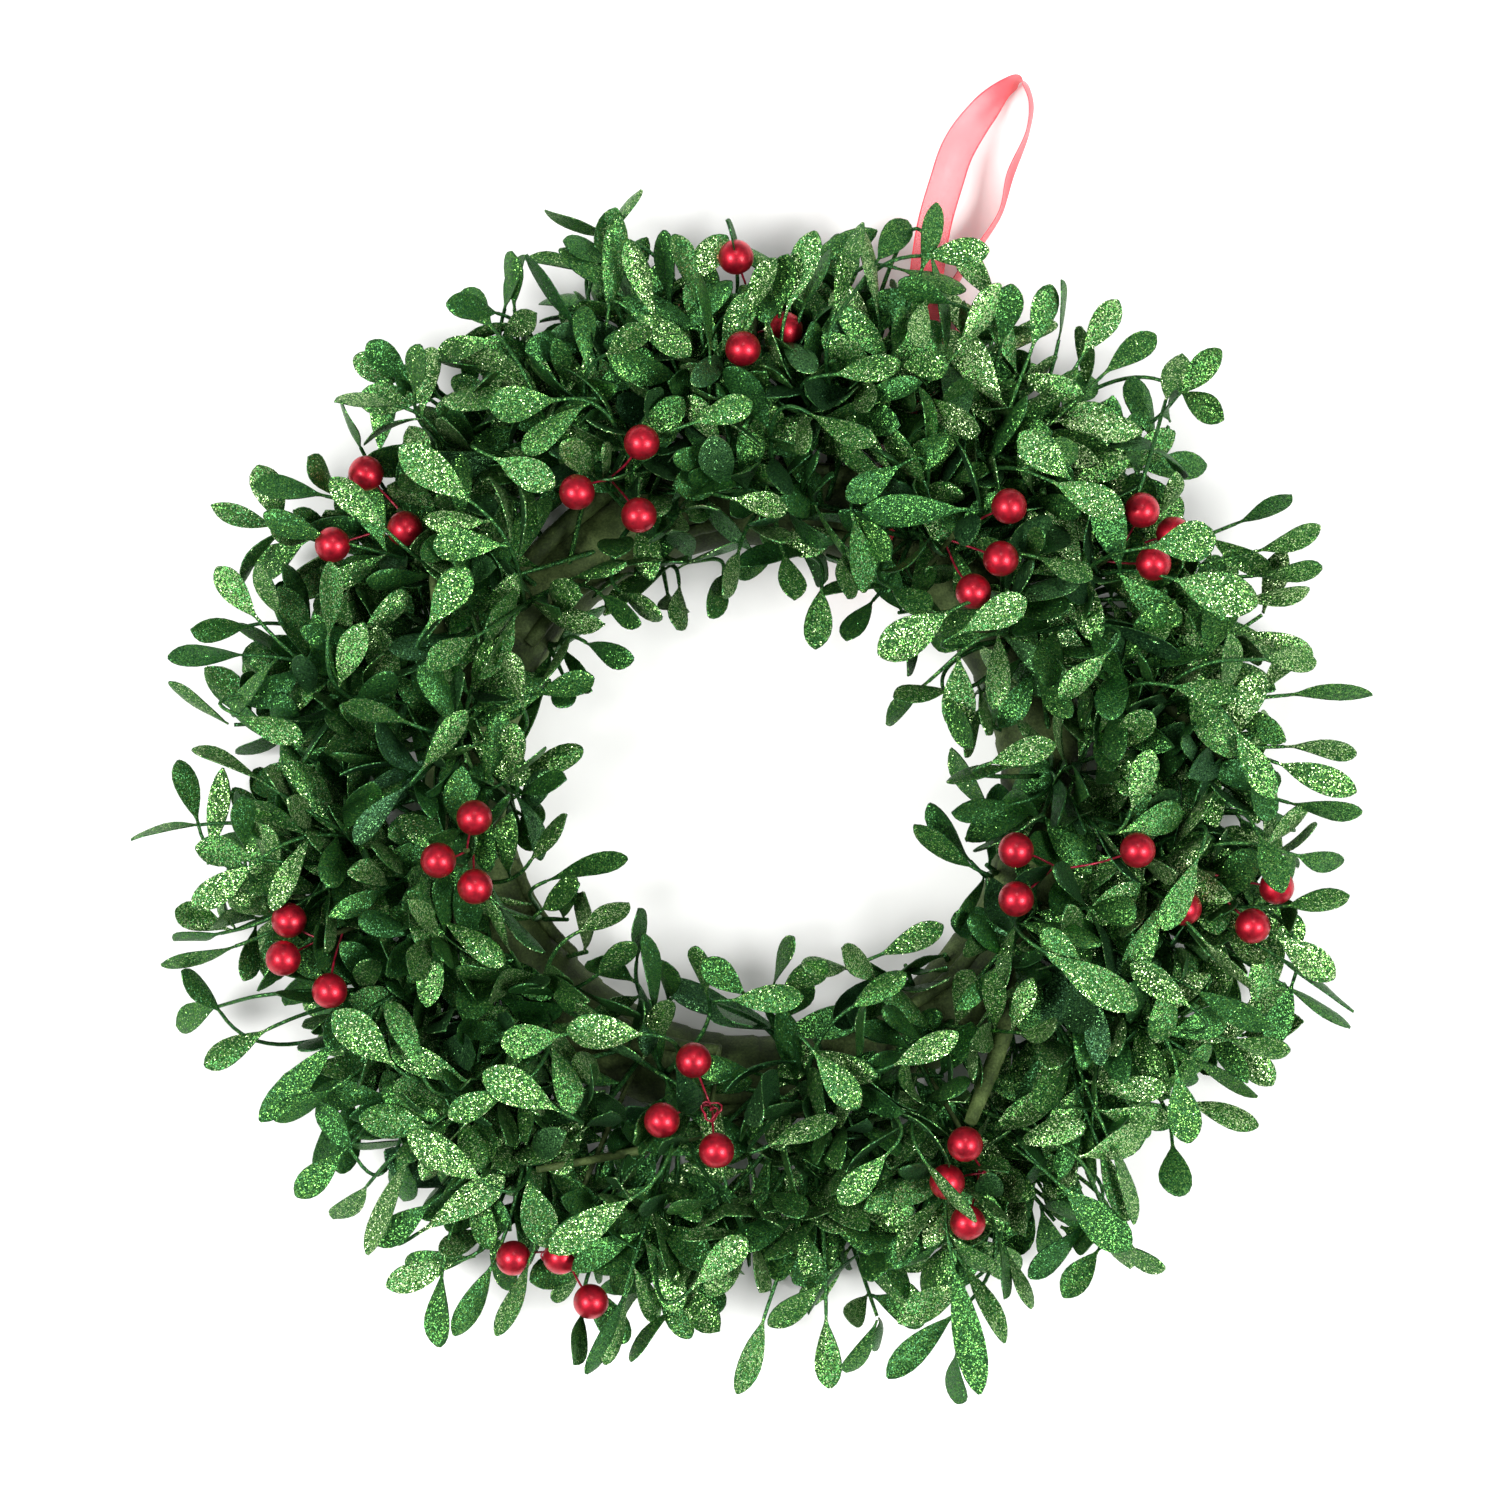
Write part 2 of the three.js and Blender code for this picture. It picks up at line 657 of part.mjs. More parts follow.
// The clearest of a sprig's headings, with the blades that it can carry there
function settleSprig(makeStemTurned, planBlades, owner) {
  let best = null
  for (const [turn, more] of STEM_BENDS) {
    const stem = makeStemTurned(turn, more)
    if (!stemIsClear(stem, owner)) continue
    const blades = planBlades(stem)
    const settled = settleBlades(stem, blades)
    if (!best || settled.length > best.settled.length) best = { stem, settled }
    if (settled.length >= blades.length - 1) break
  }
  return best
}

function leafyPick(row, index, seed) {
  const draw = seededDraws(seed)
  const azimuth = pickAzimuth(row, index)
  const owner = pickName(row, index)
  let solid = null
  let root = ringPoint(azimuth, row.section, TUBE_HEIGHT)
  row.sprigs.forEach((sprig, order) => {
    const yaw = sprig.yaw + YAW_SPREAD * draw()
    const rise = sprig.rise + RISE_SPREAD * draw()
    const lean = LEAN_SPREAD * draw()
    const length = sprig.length * (1 + LENGTH_SPREAD * draw())
    const turned = (turn, more) => makeStem(root, azimuth, yaw + turn, rise + more, lean, length)
    const plan = (stem) => bladePlan(stem, sprig, seededDraws(seed * 8 + order))
    const best = settleSprig(turned, plan, owner)
    if (!best) return
    const leads = solid === null
    const piece = sprigSolid(best.stem, best.settled, leads ? -STEM_DEPTH : 0)
    solid = leads ? piece : solid.add(piece)
    if (leads) {
      ring.solid = ring.solid.subtract(stemPiece(best.stem, -STEM_DEPTH - CLEARANCE, HOLE_REACH, CLEARANCE))
      root = stemAt(best.stem, SIDE_START).at
    }
    stemThirds(best.stem).forEach((third) => place(third, 'stem', owner))
    best.settled.forEach((blade) => place(blade.bare, 'blade', owner))
  })
  return solid
}

// Assembly

const ribbonSolid = ribbon(0)
place(ribbonSolid, 'ribbon', 'ribbon_loop')
place(tapedRing(), 'ring', 'base_ring')
const ring = placed[placed.length - 1]

const berryPicks = BERRY_PICKS.map((pick, index) => {
  const name = `berry_pick_${index + 1}`
  const solid = settleBerryPick(pick)
  place(solid, 'berries', name)
  for (const spot of pick.berries) place(sightColumn(spot), 'sight', name)
  return meshOf(name, solid, COLOURS.berry)
})

const leafyPicks = ROWS.flatMap((row, rowIndex) =>
  Array.from({ length: row.count }, (_, index) =>
    meshOf(pickName(row, index), leafyPick(row, index, 100 * (rowIndex + 1) + index), COLOURS.leaf),
  ),
)

const group = new THREE.Group()
group.add(meshOf('base_ring', ring.solid, COLOURS.tape))
group.add(meshOf('ribbon_loop', ribbonSolid, COLOURS.ribbon))
group.add(...berryPicks, ...leafyPicks)

export default group
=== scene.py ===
import math

import bpy
import numpy as np
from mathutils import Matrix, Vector


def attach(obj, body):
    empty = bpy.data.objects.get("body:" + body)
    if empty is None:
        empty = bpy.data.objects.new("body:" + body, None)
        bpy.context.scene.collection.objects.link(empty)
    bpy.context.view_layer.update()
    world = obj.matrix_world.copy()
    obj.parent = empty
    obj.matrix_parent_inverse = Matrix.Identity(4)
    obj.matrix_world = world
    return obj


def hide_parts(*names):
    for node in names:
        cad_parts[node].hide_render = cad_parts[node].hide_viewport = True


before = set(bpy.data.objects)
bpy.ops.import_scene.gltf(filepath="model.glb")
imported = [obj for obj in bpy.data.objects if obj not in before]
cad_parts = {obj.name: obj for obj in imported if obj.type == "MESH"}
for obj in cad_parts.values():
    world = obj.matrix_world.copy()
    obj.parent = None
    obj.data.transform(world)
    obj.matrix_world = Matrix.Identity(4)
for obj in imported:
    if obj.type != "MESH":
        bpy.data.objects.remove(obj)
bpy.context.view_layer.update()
scene = bpy.context.scene
mm = 0.001

# The wreath: sizes in millimetres, turned to metres as meshes are made
wreath = {
    "axis": (1.5, -15),  # across and up from the middle of the footprint
    "ringRadius": 84,
    "tubeRadius": 13,
    "tubeHeight": 13 * math.cos(math.pi / 8),  # the tube is flat underneath
    "stemSections": (53, 116),  # where round the tube the stems lie that lean outwards and inwards
    # how near the axis and how far from it a node's own and its filling leaves go, each with its fray
    "own": {"hole": (49.5, 28), "rim": (180, 34)},
    "fill": {"hole": (51, 48), "rim": (168, 28)},
    "lowestLeaf": 0.8,
    "highestLeaf": 76,
    "crownHeight": 62,  # the leaf tops fall away from the crown to the rim and the hole
    "crownRadius": 96,
    "rimFall": 0.0062,
    "holeFall": 0.006,
    "headroom": 4,  # how far a filling leaf may stand over the leaf tops
}


def unit(v):
    return v / np.linalg.norm(v)


def turnedAbout(v, axis, degrees):
    c, s = math.cos(math.radians(degrees)), math.sin(math.radians(degrees))
    return v * c + np.cross(axis, v) * s + axis * np.dot(axis, v) * (1 - c)


def wreathPoint(across, up, height):
    return np.array([wreath["axis"][0] + across, wreath["axis"][1] + up, height])


def ringFrame(azimuth):
    # the ways outwards and along the ring
    a = math.radians(azimuth)
    return np.array([math.cos(a), math.sin(a), 0]), np.array([-math.sin(a), math.cos(a), 0])


def ringPoint(azimuth, section, reach):
    # the section turns from outward (0) by the front (90) to inward (180)
    out, _ = ringFrame(azimuth)
    turn = math.radians(section)
    away = wreath["ringRadius"] + reach * math.cos(turn)
    return wreathPoint(out[0] * away, out[1] * away, wreath["tubeHeight"] + reach * math.sin(turn))


def leafTops(across, up):
    off = np.hypot(across, up) - wreath["crownRadius"]
    return wreath["crownHeight"] - np.where(off > 0, wreath["rimFall"], wreath["holeFall"]) * off * off


# where the seeds of each kind of piece begin
seeds = {"berryPick": 700, "sprig": 16, "filler": 5000, "fillerLeaf": 4, "accent": 9000, "accentKind": 500}


def seededDraws(seed):
    # the same draws for the same seed, each from -1 to 1
    state = ((seed + 1) * 2654435761) & 0xFFFFFFFF

    def draw():
        nonlocal state
        state = (state * 1664525 + 1013904223) & 0xFFFFFFFF
        return state / 2147483648 - 1

    draw()
    draw()
    return draw


def nodePoints(name):
    data = bpy.data.objects[name].data
    points = np.zeros(len(data.vertices) * 3)
    data.vertices.foreach_get("co", points)
    return points.reshape(-1, 3) / mm


def nearest(points, at):
    return float(np.min(np.linalg.norm(points - at, axis=1)))


# Camera: straight above, because the photograph looks the wreath in the face
photo = {
    "pixels": 1500,
    "pixelsPerMm": 3.46,
    "axisPixel": (756, 791),  # where the wreath's axis shows
    "distance": 2400,  # from the lens to the leaves
    "leafHeight": 35,
    "lowest": 3,  # nothing that it shows is set lower than this
    "sensor": 36,
}


def lensPoint():
    middle = photo["pixels"] / 2
    across = (middle - photo["axisPixel"][0]) / photo["pixelsPerMm"]
    up = (photo["axisPixel"][1] - middle) / photo["pixelsPerMm"]
    return wreathPoint(across, up, photo["leafHeight"] + photo["distance"])


def photoPoint(across, down, above):
    # the spot that the photograph shows at a pixel, at a height above or below the leaf tops
    lens, middle = lensPoint(), photo["pixels"] / 2
    height = photo["leafHeight"]
    for _ in range(2):  # the second time at the height found by the first
        scale = (lens[2] - height) / (photo["distance"] * photo["pixelsPerMm"])
        point = lens + ((across - middle) * scale, (middle - down) * scale, 0)
        tops = leafTops(point[0] - wreath["axis"][0], point[1] - wreath["axis"][1])
        height = max(photo["lowest"], tops + above)
    return np.array([point[0], point[1], height])


def makeCamera():
    data = bpy.data.cameras.new("camera")
    camera = bpy.data.objects.new("camera", data)
    scene.collection.objects.link(camera)
    camera.location = lensPoint() * mm
    data.sensor_width = photo["sensor"]
    data.lens = photo["sensor"] * photo["distance"] * photo["pixelsPerMm"] / photo["pixels"]
    data.clip_end = 100
    scene.camera = camera


makeCamera()
print("camera made")


# Materials

def linear(hexColour):
    # an sRGB hex value as the linear colour that shaders take
    parts = [int(hexColour[i:i + 2], 16) / 255 for i in (1, 3, 5)]
    return [c / 12.92 if c <= 0.04045 else ((c + 0.055) / 1.055) ** 2.4 for c in parts] + [1]


def setInputs(tree, node, inputs):
    # each input is linked from another node's socket, or set to a value
    for name, value in inputs.items():
        if isinstance(value, bpy.types.NodeSocket):
            tree.links.new(value, node.inputs[name])
        else:
            node.inputs[name].default_value = value


def addNode(tree, kind, inputs=None, stops=(), **settings):
    node = tree.nodes.new(kind)
    for name, value in settings.items():
        setattr(node, name, value)
    setInputs(tree, node, inputs or {})
    if stops:
        elements = node.color_ramp.elements
        while len(elements) < len(stops):
            elements.new(1)
        for element, (position, hexColour) in zip(elements, stops):
            element.position = position
            element.color = linear(hexColour)
    return node


# the places of a mix node's sockets: its two numbers, its two colours, and the colour that comes out
numberA, numberB, colourA, colourB, mixedColour = 2, 3, 6, 7, 2


def newMaterial(name):
    material = bpy.data.materials.new(name)
    material.use_nodes = True
    tree = material.node_tree
    place = addNode(tree, "ShaderNodeTexCoord").outputs["Object"]
    return material, tree, tree.nodes["Principled BSDF"], place


# PVC boxwood leaf, injection moulded and dusted with hexagonal PET glitter: a deep green body under
# flakes that each catch the light their own way, so a leaf is speckled from near black to pale green.
# Each flake's colour is drawn from that range too, partly its own tone and partly painted light: a painted
# shade at the dark end and a painted glint at the pale end
leafFinish = {
    "flake": 0.28,  # mm, as the real flakes are
    "flakeTilt": 0.65,  # how unevenly most flakes lie
    "looseTilt": 1.9,  # how far the last few stand up, which light up on a dark leaf
    "loosePast": 0.74,  # the share of the flakes that lie as most do
    # the flake colours run from a painted shade at the dark end to a painted glint at the pale end
    "flakes": [(0.0, "#1c4525"), (0.4, "#28592b"), (0.78, "#457c35"), (0.94, "#76a64f"), (1.0, "#cce6aa")],
    "under": [(0.0, "#193a25"), (0.5, "#284e2e"), (0.95, "#4d7d45")],
    "grazing": "#6f9a5c",  # a leaf seen along its face stays green
    # the clear coat turns each flake's glint pale
    "surface": {"Metallic": 0.7, "Roughness": 0.3, "Coat Weight": 0.17, "Coat Roughness": 0.3},
}


def glitteredPvc():
    material, tree, shader, place = newMaterial("glitteredPvc")
    cells = addNode(tree, "ShaderNodeTexVoronoi", {"Vector": place, "Scale": 1 / (leafFinish["flake"] * mm)})
    split = addNode(tree, "ShaderNodeSeparateColor", {"Color": cells.outputs["Color"]})
    tint = addNode(tree, "ShaderNodeAttribute", attribute_name="tint")
    under = addNode(tree, "ShaderNodeAttribute", attribute_name="under")
    # each flake's colour, between painted shade and painted glint, moved a little by its leaf's own tint
    moved = {0: split.outputs["Red"], 1: tint.outputs["Fac"]}
    shade = addNode(tree, "ShaderNodeMath", moved, operation="ADD").outputs[0]
    top = addNode(tree, "ShaderNodeValToRGB", {"Fac": shade}, leafFinish["flakes"])
    back = addNode(tree, "ShaderNodeValToRGB", {"Fac": shade}, leafFinish["under"])
    colour = addNode(
        tree, "ShaderNodeMix",
        {"Factor": under.outputs["Fac"], colourA: top.outputs["Color"], colourB: back.outputs["Color"]},
        data_type="RGBA",
    )
    # each flake's own tilt, small on most of them
    middled = {0: cells.outputs["Color"], 1: (0.5, 0.5, 0.5)}
    spread = addNode(tree, "ShaderNodeVectorMath", middled, operation="SUBTRACT")
    chance = addNode(tree, "ShaderNodeTexWhiteNoise", {"Vector": cells.outputs["Position"]})
    tilt = addNode(
        tree, "ShaderNodeMapRange",
        {
            "Value": chance.outputs["Value"], "From Min": leafFinish["loosePast"], "From Max": 1.0,
            "To Min": leafFinish["flakeTilt"], "To Max": leafFinish["looseTilt"],
        },
    )
    scaled = {0: spread.outputs[0], "Scale": tilt.outputs[0]}
    turned = addNode(tree, "ShaderNodeVectorMath", scaled, operation="SCALE")
    normal = addNode(tree, "ShaderNodeNewGeometry").outputs["Normal"]
    tilted = addNode(tree, "ShaderNodeVectorMath", {0: turned.outputs[0], 1: normal}, operation="ADD")
    faced = addNode(tree, "ShaderNodeVectorMath", {0: tilted.outputs[0]}, operation="NORMALIZE").outputs[0]
    setInputs(tree, shader, {
        "Base Color": colour.outputs[mixedColour],
        "Normal": faced,
        "Coat Normal": faced,
        "Specular Tint": linear(leafFinish["grazing"]),
        **leafFinish["surface"],
    })
    return material


# Polystyrene berry, dip lacquered in pearl red: bright where it faces the light and dark round its rim
berryFinish = {
    "shades": [(0.3, "#841020"), (0.62, "#b9182d")],
    "mottle": 2.2,  # mm across a patch of thicker lacquer
    "ripple": (0.1, 0.25),  # how far the lacquer stands up there, in mm, and how plainly
    "surface": {"Metallic": 0.85, "Roughness": 0.46, "Coat Weight": 0.25, "Coat Roughness": 0.22},
}


def pearlLacquer():
    material, tree, shader, place = newMaterial("pearlLacquer")
    patch = addNode(
        tree, "ShaderNodeTexNoise",
        {"Vector": place, "Scale": 1 / (berryFinish["mottle"] * mm), "Detail": 3.0, "Roughness": 0.6},
    ).outputs["Fac"]
    colour = addNode(tree, "ShaderNodeValToRGB", {"Fac": patch}, berryFinish["shades"])
    height, strength = berryFinish["ripple"]
    bump = addNode(tree, "ShaderNodeBump", {"Height": patch, "Strength": strength, "Distance": height * mm})
    setInputs(tree, shader, {
        "Base Color": colour.outputs["Color"],
        "Normal": bump.outputs["Normal"],
        **berryFinish["surface"],
    })
    return material


# Enamelled copper wire, drawn thin: glossy crimson, darker where the enamel is worn
wireFinish = {
    "shades": [(0.35, "#640c1c"), (0.65, "#a01a36")],
    "wear": 1.5,  # mm along a worn stretch
    "surface": {"Metallic": 0.35, "Roughness": 0.3},
}


def enamelledWire():
    material, tree, shader, place = newMaterial("enamelledWire")
    wear = addNode(
        tree, "ShaderNodeTexNoise", {"Vector": place, "Scale": 1 / (wireFinish["wear"] * mm), "Detail": 2.0},
    )
    colour = addNode(tree, "ShaderNodeValToRGB", {"Fac": wear.outputs["Fac"]}, wireFinish["shades"])
    setInputs(tree, shader, {"Base Color": colour.outputs["Color"], **wireFinish["surface"]})
    return material


# Crepe paper floral tape, waxed and wound on tight: matt olive with fine creases along the winding, its
# colour painted darker down in each crease as painted shade
tapeFinish = {
    "shades": [(0.36, "#1a2410"), (0.5, "#34431f"), (0.66, "#57683a")],
    "crease": 0.7,  # mm between creases; real crepe is 0.3 mm, too fine to show
    "creaseBump": (0.3, 0.6),  # how high a crease stands, in mm, and how plainly
    "patch": 9,  # mm across a patch where the wax is worn
    # the creases' share of the colour is a painted shade, darker where a crease sinks
    "creaseShadeShare": 0.45,  # how much of the shade is the creases'
    "surface": {"Roughness": 0.68, "Specular IOR Level": 0.2},
}


def crepeTape():
    material, tree, shader, place = newMaterial("crepeTape")
    crease = addNode(
        tree, "ShaderNodeTexNoise",
        {"Vector": place, "Scale": 1 / (tapeFinish["crease"] * mm), "Detail": 4.0, "Roughness": 0.7},
    ).outputs["Fac"]
    patch = addNode(
        tree, "ShaderNodeTexNoise", {"Vector": place, "Scale": 1 / (tapeFinish["patch"] * mm), "Detail": 3.0},
    ).outputs["Fac"]
    # the colour mixes patches of worn wax with the creases, whose hollows are painted darker as painted shade
    wornWaxAndCreaseShade = addNode(
        tree, "ShaderNodeMix", {"Factor": tapeFinish["creaseShadeShare"], numberA: patch, numberB: crease},
        data_type="FLOAT",
    )
    colour = addNode(tree, "ShaderNodeValToRGB", {"Fac": wornWaxAndCreaseShade.outputs[0]}, tapeFinish["shades"])
    height, strength = tapeFinish["creaseBump"]
    bump = addNode(tree, "ShaderNodeBump", {"Height": crease, "Strength": strength, "Distance": height * mm})
    setInputs(tree, shader, {
        "Base Color": colour.outputs["Color"],
        "Normal": bump.outputs["Normal"],
        **tapeFinish["surface"],
    })
    return material


# Nylon organza, plain woven with a close selvedge: sheer pink where it is single, red along its edges
ribbonFinish = {
    "sheer": "#ee4655",
    "selvedge": "#f03a4a",
    "thread": 0.35,  # mm between threads; real organza is 0.15 mm, too fine to show
    # how opaque each of the cloth's two faces is
    "openAlpha": 0.32,
    "threadAlpha": 0.54,
    "edgeAlpha": 0.9,
    "surface": {"Roughness": 0.45, "Sheen Weight": 0.3},
}


def organza():
    material, tree, shader, _ = newMaterial("organza")
    uv = addNode(tree, "ShaderNodeTexCoord").outputs["UV"]  # millimetres along and across the ribbon
    turns = {0: uv, 1: (2 * math.pi / ribbonFinish["thread"],) * 3}
    weave = addNode(tree, "ShaderNodeVectorMath", turns, operation="MULTIPLY")
    waves = addNode(tree, "ShaderNodeVectorMath", {0: weave.outputs[0]}, operation="SINE")
    parts = addNode(tree, "ShaderNodeSeparateXYZ", {"Vector": waves.outputs[0]}).outputs
    threads = addNode(tree, "ShaderNodeMath", {0: parts["X"], 1: parts["Y"]}, operation="MAXIMUM")
    edge = addNode(tree, "ShaderNodeAttribute", attribute_name="selvedge").outputs["Fac"]
    cover = addNode(
        tree, "ShaderNodeMapRange",
        {
            "Value": threads.outputs[0], "From Min": -1.0, "From Max": 1.0,
            "To Min": ribbonFinish["openAlpha"], "To Max": ribbonFinish["threadAlpha"],
        },
    )
    alpha = addNode(
        tree, "ShaderNodeMix",
        {"Factor": edge, numberA: cover.outputs[0], numberB: ribbonFinish["edgeAlpha"]},
        data_type="FLOAT",
    )
    colours = {colourA: linear(ribbonFinish["sheer"]), colourB: linear(ribbonFinish["selvedge"])}
    colour = addNode(tree, "ShaderNodeMix", {"Factor": edge, **colours}, data_type="RGBA")
    setInputs(tree, shader, {
        "Base Color": colour.outputs[mixedColour],
        "Alpha": alpha.outputs[0],
        **ribbonFinish["surface"],
    })
    return material


finish = {
    "leaf": glitteredPvc(),
    "berry": pearlLacquer(),
    "wire": enamelledWire(),
    "tape": crepeTape(),
    "ribbon": organza(),
}
print("materials made")


# Meshes: gathered as arrays of points and faces, one object for each piece

class Shape:
    def __init__(self):
        self.points, self.faces, self.slots = [], [], []
        self.marks = {}
        self.count = 0

    def add(self, points, faces, slot=0, **marks):
        # points as rows of three millimetres, faces as rows of point numbers, marks as one value a point
        self.points.append(np.asarray(points, float))
        self.faces.extend([[corner + self.count for corner in face] for face in faces])
        self.slots.extend([slot] * len(faces))
        for name, values in marks.items():
            self.marks.setdefault(name, []).append(np.broadcast_to(np.asarray(values, float), len(points)))
        self.count += len(points)

    def build(self, name, materials, sharpAngle):
        mesh = bpy.data.meshes.new(name)
        mesh.from_pydata(np.concatenate(self.points) * mm, [], self.faces)
        for material in materials:
            mesh.materials.append(material)
        mesh.polygons.foreach_set("material_index", self.slots)
        for mark, values in self.marks.items():
            layer = mesh.attributes.new(mark, "FLOAT", "POINT")
            layer.data.foreach_set("value", np.concatenate(values))
        mesh.shade_smooth()
        mesh.set_sharp_from_angle(angle=math.radians(sharpAngle))
        piece = bpy.data.objects.new(name, mesh)
        scene.collection.objects.link(piece)
        return piece


def finishPiece(piece, node):
    # each piece stands for one node of the solids
    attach(piece, "root")
    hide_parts(node)


def smoothPath(stops, steps):
    # a Catmull-Rom curve through the stops, as an array of points
    stops = [2 * stops[0] - stops[1], *stops, 2 * stops[-1] - stops[-2]]
    out = []
    for k in range(1, len(stops) - 2):
        a, b, c, d = stops[k - 1:k + 3]
        for i in range(steps):
            t = i / steps
            out.append(
                0.5 * (2 * b + (c - a) * t + (2 * a - 5 * b + 4 * c - d) * t * t
                       + (3 * b - a - 3 * c + d) * t ** 3)
            )
    out.append(stops[-2])
    return np.array(out)


def lengthAlong(path):
    # how far each point of a path is from its start
    return np.concatenate([[0], np.cumsum(np.linalg.norm(np.diff(path, axis=0), axis=1))])


def waysAlong(path):
    ways = np.gradient(path, axis=0)
    return ways / np.linalg.norm(ways, axis=1)[:, None]


def tubeAlong(path, radii, sides):
    # a round tube along the path with closed ends, as points and faces
    radii = np.broadcast_to(np.asarray(radii, float), len(path))
    ways = waysAlong(path)
    side = np.cross(ways[0], (0.31, 0.42, 0.85))  # any way that no path sets out on
    points = []
    for at, way, radius in zip(path, ways, radii):
        side = unit(side - way * np.dot(side, way))
        other = np.cross(way, side)
        for turn in np.arange(sides) * 2 * math.pi / sides:
            points.append(at + radius * (side * math.cos(turn) + other * math.sin(turn)))
    faces = []
    for i in range(len(path) - 1):
        for k in range(sides):
            a, b = i * sides + k, i * sides + (k + 1) % sides
            faces.append([a, b, b + sides, a + sides])
    top = (len(path) - 1) * sides
    faces.append(list(range(sides))[::-1])
    faces.append([top + k for k in range(sides)])
    return np.array(points), faces


def ballPoints(radius, rings, segments):
    points, faces = [], []
    for i in range(1, rings):
        polar = math.pi * i / rings
        out = math.sin(polar)
        for k in range(segments):
            turn = 2 * math.pi * k / segments
            points.append((out * math.cos(turn), out * math.sin(turn), math.cos(polar)))
    points += [(0, 0, 1), (0, 0, -1)]
    top, bottom = len(points) - 2, len(points) - 1
    low = (rings - 2) * segments
    for k in range(segments):
        after = (k + 1) % segments
        faces.append([top, k, after])
        faces.append([bottom, low + after, low + k])
        for i in range(rings - 2):
            a, b = i * segments, (i + 1) * segments
            faces.append([a + k, b + k, b + after, a + after])
    return np.array(points) * radius, faces


# What is taken up so far, as small cells that each hold the mark of what fills them
space = {"cell": 1.3, "low": (-205, -220, -4), "high": (205, 215, 100)}
taken = np.zeros([int((h - l) / space["cell"]) + 1 for l, h in zip(space["low"], space["high"])], np.int8)
ringMark, ribbonMark, berryMark, sightMark, leafMark = 1, 2, 3, 4, 5


def cellsOf(points):
    at = ((np.asarray(points) - space["low"]) / space["cell"]).astype(int)
    at = np.clip(at, 0, np.array(taken.shape) - 1)
    return at[:, 0], at[:, 1], at[:, 2]


def fill(points, mark):
    taken[cellsOf(points)] = mark


def clearColumn(centre, radius, low, high):
    # keeps leaves out of sight above a spot: twelve spokes with four points each, one level a millimetre
    spokes = [(math.cos(0.52 * k), math.sin(0.52 * k)) for k in range(12)]
    for height in np.arange(low, high, 1.0):
        for share in (0, 0.3, 0.65, 1):
            fill([centre + (radius * share * c, radius * share * s, height) for c, s in spokes], sightMark)


# Base ring: a tube wound with tape, its turns lapped like shingles, and the taped stems that lie on it
ring = {
    "radius": 12.3,
    "turns": 46,  # laps of the tape round the ring
    "lap": 0.45,  # how far a lap's edge stands up
    "lapRise": (1.15, 1.5),  # how soon and how suddenly it does
    "around": 736,
    "across": 40,
    "wobble": 0.35,
    "waves": [(5, 2, 0.5), (13, -3, 0.3), (29, 1, 0.2)],  # rounds of the ring, turns of the tube, share
    "floor": 0.1,  # the lowest that it comes
    "filled": (8.5, 10, 11.5, 12.7),  # from the tube's middle, where leaves can't go
}
tapedStems = {
    "count": 8,
    "first": 12,
    "radius": 2.1,
    "taper": 0.35,
    "sweep": 25,
    "sunk": 0.6,  # how deep it starts in the ring's tape
    "lift": 7,  # and how far off the ring it ends
    "lapLength": 5.5,
    "lap": 0.16,
    "sides": 12,
}
# more taped stems that the photograph shows: [azimuth, section, sweep, radius, lift]
looseStems = [
    [-22, 53, -35, 2.8, 36],
    [-80, 40, -40, 1.4, 42],
    [172, 50, -28, 2.0, 36],
    [50, 35, -46, 2.1, 49],
    [-164, 150, 26, 1.8, 3],
    [97, 118, 17, 1.7, 8],
    [144, 42, -42, 3.0, 12],
    [92, 42, -34, 3.0, 10],
]
# where the photograph sees down to the tape between the leaves, by its pixels: [across, down, radius]
clearings = [
    [600, 516, 5], [574, 522, 4], [850, 490, 5], [903, 540, 4], [536, 560, 4], [622, 1080, 5],
    [690, 1046, 4], [745, 1050, 4], [520, 880, 4], [532, 908, 4], [550, 935, 4], [572, 960, 3],
    [527, 660, 4], [930, 1075, 4], [1016, 1062, 5], [1003, 1088, 5], [985, 1108, 4], [590, 1168, 4],
    [650, 1176, 4], [705, 1180, 5], [745, 1182, 4], [428, 600, 4], [1118, 606, 3],
]


def windTape(shape):
    around, across = ring["around"], ring["across"]
    u, v = np.arange(around) / around, np.arange(across) / across
    azimuth, turn = np.meshgrid(2 * np.pi * u, 2 * np.pi * v, indexing="ij")
    lap = (ring["turns"] * azimuth + turn) / (2 * np.pi) % 1.0
    soon, sudden = ring["lapRise"]
    stand = ring["lap"] * np.clip(soon * lap, 0, 1) ** sudden
    wave = sum(np.sin(rounds * azimuth + turns * turn) * share for rounds, turns, share in ring["waves"])
    reach = ring["radius"] + stand + ring["wobble"] * wave
    away = wreath["ringRadius"] + reach * np.cos(turn)
    height = np.clip(wreath["tubeHeight"] + reach * np.sin(turn), ring["floor"], None)
    middleX, middleY = wreath["axis"]
    points = np.stack([middleX + away * np.cos(azimuth), middleY + away * np.sin(azimuth), height], axis=-1)
    faces = []
    for i in range(around):
        for k in range(across):
            here, after = i * across, (i + 1) % around * across
            right = (k + 1) % across
            faces.append([here + k, after + k, after + right, here + right])
    shape.add(points.reshape(-1, 3), faces)


